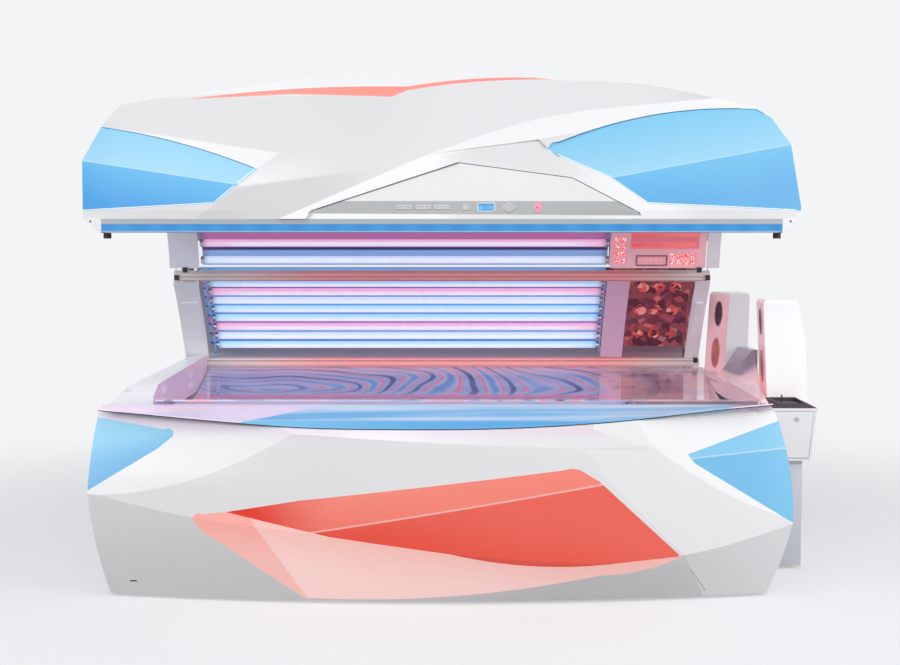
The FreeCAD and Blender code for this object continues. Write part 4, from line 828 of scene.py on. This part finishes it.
def clear_sheet(name, tint, ripple, ripple_scale, stretch=(1, 1, 1), film=None):
    """Clear acrylic: seen through, mirror-like at grazing angles on its outer face, with a film of
    colour where given."""
    material, tree = blank(name)
    waves = noise(tree, ripple_scale, 1.0, where=stretched(tree, stretch))
    relief = bumps(tree, waves, ripple)
    through = add(tree, "BsdfTransparent", Color=tint).outputs[0]
    haze = uneven(tree, 0.024, 0.06, 6.0, 4.0)
    mirror = add(tree, "BsdfGlossy", Color=(1, 1, 1), Roughness=haze, Normal=relief)
    outer_face = maths(tree, "SUBTRACT", 1.0, add(tree, "NewGeometry").outputs["Backfacing"])
    share = times(tree, add(tree, "Fresnel", IOR=ACRYLIC_IOR, Normal=relief).outputs[0], outer_face)
    inside = film(tree, through) if film else through
    return finished(material, mix_shader(tree, share, inside, mirror.outputs[0]))


paint(clear_sheet("lamp_acrylic", (0.96, 0.96, 0.99), 0.0003, 5, (0.4, 1, 1)), "wall_acrylic",
      "canopy_acrylic")
paint(clear_sheet("shoulder_acrylic", (0.94, 0.80, 0.84), 0.0006, 9), "shoulder_window", "face_glass")

STRIPE_START, STRIPE_END = 0.165, 0.240


def painted_lamp_reflections(tree, through):
    """Painted reflections of the lamps, glowing a little as painted lamp light: swirls of lavender, blue
    and pink with thin dark veins and one pink stripe along the wall, greyer and finer at the head end."""
    x, y, _ = axes(tree)
    sway = add(tree, "TexNoise", Vector=place_of(tree), Scale=1.7, Detail=1.0).outputs["Color"]
    bent = add(tree, "VectorMath", {"operation": "MULTIPLY_ADD"}, i0=sway, i1=(0.50, 0.34, 0.0),
               i2=place_of(tree)).outputs[0]
    squeezed = add(tree, "Mapping", Vector=bent, Location=(0.42, -1.10, 0.0),
                   Scale=(0.75, 2.1, 1.0)).outputs[0]
    rings = add(tree, "TexWave", {"wave_type": "RINGS", "rings_direction": "Z"}, Vector=squeezed, Scale=2.3,
                Distortion=2.2, Detail=1.0, Detail_Scale=1.0, Detail_Roughness=0.5).outputs[1]
    swirl = ramp(tree, rings, [(0.0, shade(120, 160, 220)), (0.16, shade(186, 196, 236)),
                               (0.30, shade(218, 186, 218)), (0.42, shade(250, 130, 160)),
                               (0.56, shade(236, 160, 190)), (0.78, shade(164, 186, 230)),
                               (0.93, shade(186, 186, 224)), (0.98, shade(98, 92, 146))])
    clouded = between(tree, noise(tree, 2.6, 1.0), 0.48, 0.66, 0.0, 0.5)
    pale = blend(tree, clouded, swirl, shade(190, 192, 230))
    on_stripe = times(tree, between(tree, y, STRIPE_START, STRIPE_START + 0.012),
                      between(tree, y, STRIPE_END - 0.02, STRIPE_END, 1.0, 0.0))
    striped = blend(tree, on_stripe, pale, shade(240, 126, 172))
    fine = noise(tree, 5.5, 4.0, 0.7)
    head_end_reflection = ramp(tree, fine, [(0.30, shade(112, 92, 112)), (0.42, shade(176, 146, 168)),
                              (0.52, shade(206, 168, 184)), (0.60, shade(238, 170, 180)),
                              (0.68, shade(160, 136, 156))])
    colour = blend(tree, softly(tree, x, LAST_END - 0.10, LAST_END + 0.08), striped, head_end_reflection)
    front_rim = between(tree, y, -0.545, -0.535, 1.0, 0.86)
    return mix_shader(tree, front_rim, through, surface(tree, colour, 0.12, 0.42, 0.6))


paint(clear_sheet("bench_sheet", (0.86, 0.86, 0.95), 0.002, 1.6, (0.7, 1.4, 1), painted_lamp_reflections), "bench_acrylic")

# -------------------- ledge and seam
# A clear-coated ledge, lavender from the lamps inside it, slopes from the seam up to the rim of the
# bench. A black rubber section closes the seam between ledge and front cover.


def ledge_glow(tree, colour):
    return blend(tree, streaks(tree, (1.6, 30, 30), 0.4, 0.66), shade(222, 218, 244), shade(252, 222, 236))


paint(moulded("ledge_lacquer", shade(232, 226, 244), shade(226, 222, 242), 0.14, coat=0.5, tinge=ledge_glow),
      "armrest_ledge")
paint(moulded("rubber", (0.03, 0.03, 0.032), (0.018, 0.018, 0.02), 0.75, grain=900, depth=0.0003),
      "seam_gasket", "levelling_feet")

# -------------------- lamp wall surround
# The wall's sheet is held between two extruded aluminium profiles and two moulded end caps; a plain
# cover stands beside the shoulder window, and black clips lock the profile ends.
PROFILE_LEFT, PROFILE_RIGHT = -1.12, 0.955


def rosy_middle(tree, colour):
    """Painted reflection: rosy in the middle of the bed, where the pink tubes mirror in long metal."""
    x = axes(tree)[0]
    share = times(tree, softly(tree, x, -1.10, -0.45), softly(tree, x, 0.55, 0.95, 1.0, 0.0))
    return blend(tree, share, colour, shade(226, 146, 144))


def painted_lamp_light_towards(direction, rose):
    """Painted lamp light for covers that stand beside the lamps: rosy on the faces that look at them."""
    def tinge(tree, colour):
        return blend(tree, between(tree, facing(tree, direction), 0.3, 0.9), colour, rose)
    return tinge


# The profiles glow a little: painted lamp light.
paint(moulded("aluminium_painted_rose", shade(206, 196, 192), shade(190, 180, 178), 0.34, grain=260, depth=0.0001,
              metallic=0.25, stretch=(0.03, 1, 1), tinge=rosy_middle, glow=0.20), "wall_profiles")
groove_dark = moulded("groove_dark", shade(112, 66, 74), shade(92, 54, 62), 0.6, grain=500)
GROOVES = (("top_profile_groove_upper", 1.0395, 0.002), ("top_profile_groove_middle", 1.0525, 0.002),
           ("bottom_profile_groove_upper", 0.697, 0.0025), ("bottom_profile_groove_lower", 0.676, 0.0025))
for name, z, width in GROOVES:
    bead(name, "wall_profiles", [(PROFILE_LEFT, z), (PROFILE_RIGHT, z)], width, 0.0002, groove_dark, "base",
         step=0.1)
# The liner and wall end caps glow a little: painted lamp light.
paint(moulded("inner_white", shade(226, 226, 230), shade(214, 214, 219), 0.34, coat=0.15, glow=0.16),
      "canopy_liner", "wall_end_caps")
# The shoulder cover glows a little: painted lamp light.
paint(moulded("shoulder_cover", shade(214, 182, 204), shade(202, 164, 188), 0.3, coat=0.2,
              stretch=(3, 3, 14), glow=0.22), "shoulder_housing")

CLIP_WIDTH = 0.018
CLIP_SIDE = [(0, 0), (0.016, 0), (0.016, 0.004), (0.007, 0.006), (0.007, 0.015), (0.016, 0.017),
             (0.016, 0.020), (0, 0.020)]


def clip(name, x, y, z, body):
    """Black hooked clip: its side outline drawn out along x, with bevelled edges."""
    count = len(CLIP_SIDE)
    points = [(x + end, y + b, z + c) for end in (-CLIP_WIDTH / 2, CLIP_WIDTH / 2) for b, c in CLIP_SIDE]
    faces = [tuple(range(count)), tuple(range(2 * count - 1, count - 1, -1))]
    faces += [(i, count + i, count + (i + 1) % count, (i + 1) % count) for i in range(count)]
    item = solid_piece(name, points, faces, black, body)
    bevel = item.modifiers.new("edges", "BEVEL")
    bevel.width = 0.0012
    bevel.segments = 2


for side, x, inward in (("left", -1.128, 0.050), ("right", 0.958, -0.050)):
    clip("profile_clip_" + side, x, 0.287, 1.040, "base")
    clip("wall_clip_" + side, x, 0.555, 0.690, "base")
    clip("canopy_clip_" + side, x + inward, 0.196, 1.073, "canopy")

# -------------------- face tanner
# A rosy moulded panel at the canopy's head end: a glass over two red lamps, an air grille in a
# raised frame and two clusters of red diodes, each under its own small lens.
# The panel glows a little: painted lamp light.
paint(moulded("tanner_panel", shade(234, 182, 188), shade(222, 164, 172), 0.3, coat=0.2, glow=0.30),
      "face_tanner")

# The lenses have white-hot middles, from a fine pattern the size of a diode.
diode_lens, tree = blank("diode_lens")
sparks = ramp(tree, noise(tree, 150, 1.0), [(0.36, shade(236, 52, 52)), (0.52, shade(255, 96, 84)),
                                            (0.62, (1.0, 0.92, 0.88))])
paint(finished(diode_lens, surface(tree, sparks, 0.12, 0.8)), "face_diodes")


def bar_between(name, start, end, radius, material, body, sides=16):
    """Round bar with chamfered ends between two points of the same y and z."""
    chamfer = radius * 0.4
    narrow, wide = 2 * (radius - chamfer), 2 * radius
    stations = ((start[0], narrow), (start[0] + chamfer, wide), (end[0] - chamfer, wide), (end[0], narrow))
    points = [(x, start[1] + a, start[2] + b) for x, size in stations for a, b in oval(size, size, sides)]
    faces = [tuple(range(sides))[::-1], tuple(range(3 * sides, 4 * sides))] + ring_faces(sides, 3)
    smooth_sides(solid_piece(name, points, faces, material, body))


tube_red = lit_plastic("tube_red", shade(240, 96, 96), shade(255, 160, 156), 0.7, 9)
glass_low, glass_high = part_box("face_glass")
for number, share in enumerate((0.22, 0.78), 1):
    y = glass_high.y - (glass_high.y - glass_low.y) * share + 0.010
    z = glass_low.z + (glass_high.z - glass_low.z) * share
    bar_between(f"face_lamp_{number}", (glass_low.x + 0.008, y, z), (glass_high.x - 0.008, y, z), 0.006,
                tube_red, "canopy")
grille_frame = moulded("grille_frame", shade(172, 124, 140), shade(156, 110, 128), 0.35, grain=500)
relief_on("air_grille_frame", *from_front("face_tanner", 0.7235, 1.1195), rounded(0.122, 0.044, 0.004),
          0.0025, grille_frame, "canopy", "pink_panel", rim=0.006)

# -------------------- foot console
# A moulded wedge at the foot end in white, with painted rosy lamp light on the face beside the lamps
# and a little painted lamp glow all over, with air grilles. Its top has a black oblong cup for the
# headphone lead.
paint(moulded("foot_white", shade(236, 236, 238), shade(226, 226, 229), 0.3, coat=0.2,
              tinge=painted_lamp_light_towards((1, 0, 0), shade(232, 196, 212)), glow=0.10), "foot_console")
place, outward = touch("foot_console", (-1.150, -0.500, OVER_BED), (0, 0, -1))
relief_on("lead_cup_rim", place, outward + Vector((0, -0.02, 0)), rounded(0.062, 0.046, 0.022, 6), 0.0025,
          black, "base", "black_plastic", rim=0.006)

# -------------------- head shelf and speakers
# A white deck and two white speaker towers, painted rosy with lamp light, the deck all over and the
# towers on the faces towards the lamps, and given a little painted lamp glow, with a slatted grey air
# outlet between them. Punched metal covers the speakers, each in a slim raised ring.


def shelf_tones(tree, colour):
    _, y, z = axes(tree)
    rosy = blend(tree, 0.75, colour, shade(244, 200, 206))
    outlet = times(tree, between(tree, z, 0.672, 0.684), between(tree, y, 0.10, 0.14))
    return blend(tree, outlet, rosy, shade(150, 138, 156))


paint(moulded("shelf", shade(240, 232, 234), shade(230, 222, 226), 0.22, coat=0.3, tinge=shelf_tones,
              glow=0.16), "head_shelf")


def speaker_tones(tree, colour):
    """The rear speaker is painted darker as shade from the front one, and both are painted rosy with
    lamp light on the faces towards the lamps.
    """
    shaded = blend(tree, between(tree, axes(tree)[1], 0.28, 0.32), colour, (0.60, 0.60, 0.62))
    return painted_lamp_light_towards((-1, 0, 0), shade(252, 202, 208))(tree, shaded)


paint(moulded("speaker_white", (0.90, 0.90, 0.90), (0.88, 0.88, 0.885), 0.3, coat=0.15, tinge=speaker_tones,
              glow=0.20), "speaker_housings")


def perforated(name, sheet, glow, hole, pitch):
    """Sheet with rows of small round holes, glowing a little as painted lamp light; below the tweeter
    it carries a painted reflection of the rosy lamps.
    """
    material, tree = blank(name)
    _, y, z = axes(tree)
    offsets = []
    for place in (y, z):
        cell = maths(tree, "FRACT", maths(tree, "DIVIDE", place, pitch))
        offsets.append(maths(tree, "POWER", maths(tree, "SUBTRACT", cell, 0.5), 2.0))
    open_part = between(tree, maths(tree, "SQRT", maths(tree, "ADD", *offsets)), 0.34, 0.28)
    mirrored = blend(tree, between(tree, noise(tree, 26), 0.4, 0.6), glow, [c * 0.72 for c in glow])
    tone = blend(tree, between(tree, z, 0.81, 0.82, 1.0, 0.0), sheet, mirrored)
    colour = blend(tree, times(tree, open_part, 0.75), tone, hole)
    return finished(material, surface(tree, colour, 0.42, 0.22, Metallic=0.3,
                                      Normal=bumps(tree, open_part, 0.0008, invert=True)))


paint(perforated("speaker_mesh", shade(84, 58, 78), shade(236, 132, 120), shade(36, 24, 34), 0.0052),
      "speaker_grilles")
ring_grey = moulded("ring_grey", shade(214, 176, 184), shade(198, 160, 170), 0.3, grain=500, coat=0.2)
SPEAKERS = (("rear_high", (1.041, 0.480, 0.897), (-0.952, -0.305, 0), 0.062, 0.100),
            ("rear_low", (1.028, 0.480, 0.738), (-0.952, -0.305, 0), 0.064, 0.118),
            ("front_high", (1.130, 0.105, 0.890), (-0.998, -0.06, 0), 0.062, 0.100),
            ("front_low", (1.140, 0.105, 0.720), (-0.998, -0.06, 0), 0.064, 0.118))
for name, middle, outward, width, height in SPEAKERS:
    toward = Vector(outward)
    relief_on("speaker_ring_" + name, *touch("speaker_grilles", Vector(middle) + toward * 0.1, -toward),
              oval(width + 0.006, height + 0.006, 40), 0.0016, ring_grey, "base", "pink_panel", rim=0.004)

# -------------------- service tower
# A folded sheet column with a moulded box on its front. A drop-down door with a quarter-turn lock
# closes the box, and a plum-black tray with a stud lies on its top.
paint(moulded("column_paint", shade(222, 224, 230), shade(208, 211, 218), 0.4, grain=320), "service_column")
paint(moulded("tray_plum", shade(66, 52, 62), shade(52, 40, 50), 0.5, grain=700, depth=0.0002),
      "service_tray")
paint(bright_steel, "door_lock", "spring_rods")
bead("column_fold", "service_column", [(1.0835, 0.388), (1.2245, 0.388)], 0.002, 0.0003, joint_dark, "base",
     step=0.05)

# -------------------- frame, hinges and springs
# Welded steel tube in grey enamel carries everything, with a little painted lamp light from the lamps
# above it; the canopy hangs on two bored cheeks and is held by two gas springs. Ballasts and the blower
# stand on the frame.
paint(moulded("dark_enamel", (0.16, 0.165, 0.175), (0.11, 0.115, 0.12), 0.45, grain=500), "hinge_brackets",
      "spring_cylinders", "ballasts")
paint(moulded("frame_enamel", (0.42, 0.38, 0.43), (0.36, 0.33, 0.38), 0.45, grain=500, glow=0.35),
      "base_frame")
paint(moulded("grey_enamel", (0.55, 0.56, 0.58), (0.47, 0.48, 0.5), 0.42, grain=500), "canopy_frame",
      "blower_housing")
paint(black, "blower_rotor")

# -------------------- rear air grilles
# The lamps and ballasts are cooled through slatted plastic grilles, screwed on the lower rear cover
# and near the top of the wall's rear cover.
vent_plastic = moulded("vent_plastic", shade(70, 72, 76), shade(56, 58, 62), 0.5, grain=500)
FRAME_RIM = 0.012
FRAME_HEIGHT = 0.004


def louvre(name, carrier, x, z, width, height, slats):
    """Frame with sloping slats on a flat rear face, and a screw at each corner."""
    place, outward = touch(carrier, (x, BEHIND_BED, z), (0, -1, 0))
    relief_on(name + "_frame", place, outward, rounded(width, height, 0.008), FRAME_HEIGHT, vent_plastic,
              "base", "black_plastic", rim=FRAME_RIM)
    upright, across = upright_on(outward)
    points, faces = [], []
    pitch = (height - 0.028) / slats
    for i in range(slats):
        low = -height / 2 + 0.014 + i * pitch
        start = len(points)
        for along in (-width / 2 + FRAME_RIM, width / 2 - FRAME_RIM):
            for up, rise in ((low, 0.0003), (low + pitch * 0.45, 0.0003), (low + pitch * 0.75, 0.0032),
                             (low + pitch * 0.60, 0.0036)):
                points.append(place + across * along + upright * up + outward * rise)
        faces += [tuple(start + j for j in (0, 1, 2, 3)), tuple(start + 4 + j for j in (3, 2, 1, 0))]
        faces += [(start + j, start + 4 + j, start + 4 + (j + 1) % 4, start + (j + 1) % 4) for j in range(4)]
    solid_piece(name + "_slats", points, faces, vent_plastic, "base")
    for corner, i, j in (("lb", -1, -1), ("rb", 1, -1), ("rt", 1, 1), ("lt", -1, 1)):
        relief_on(f"{name}_screw_{corner}", place + outward * FRAME_HEIGHT, outward,
                  rounded(0.006, 0.006, 0.003, 2), 0.0008, bright_steel, "base", "steel_bright",
                  shift=(i * (width / 2 - 0.006), j * (height / 2 - 0.006)))


louvre("lower_grille_left", "base_rear_shell", -0.78, 0.33, 0.42, 0.15, 9)
louvre("lower_grille_right", "base_rear_shell", 0.60, 0.33, 0.42, 0.15, 9)
louvre("upper_grille_left", "wall_rear_cover", -0.62, 0.86, 0.36, 0.12, 7)
louvre("upper_grille_right", "wall_rear_cover", 0.44, 0.86, 0.36, 0.12, 7)

# -------------------- floor
# A wide pale sheet under the bed that the room fades into. It gives back less light than it shows, so
# that the covers' undersides stay shaded.
FLOOR_REACH = 14.0
mesh = bpy.data.meshes.new("floor")
mesh.from_pydata([(i * FLOOR_REACH, j * FLOOR_REACH, 0) for i, j in ((-1, -1), (1, -1), (1, 1), (-1, 1))], [],
                 [(0, 1, 2, 3)])
floor = bpy.data.objects.new("floor", mesh)
bpy.context.collection.objects.link(floor)
floor_paint, tree = blank("floor_paint")
distance = add(tree, "VectorMath", {"operation": "LENGTH"}, i0=place_of(tree)).outputs["Value"]
grey = blend(tree, noise(tree, 1.3), (0.86, 0.865, 0.875), (0.83, 0.835, 0.85))
sheet = add(tree, "BsdfDiffuse", Color=grey).outputs[0]
pale = add(tree, "Emission", Color=BACKDROP, Strength=1.0).outputs[0]
shown = mix_shader(tree, softly(tree, distance, 1.6, 4.2, 0.50, 1.0), sheet, pale)
bounce = add(tree, "BsdfDiffuse", Color=(0.26, 0.26, 0.27)).outputs[0]
mesh.materials.append(finished(floor_paint, mix_shader(tree, seen_directly(tree), bounce, shown)))
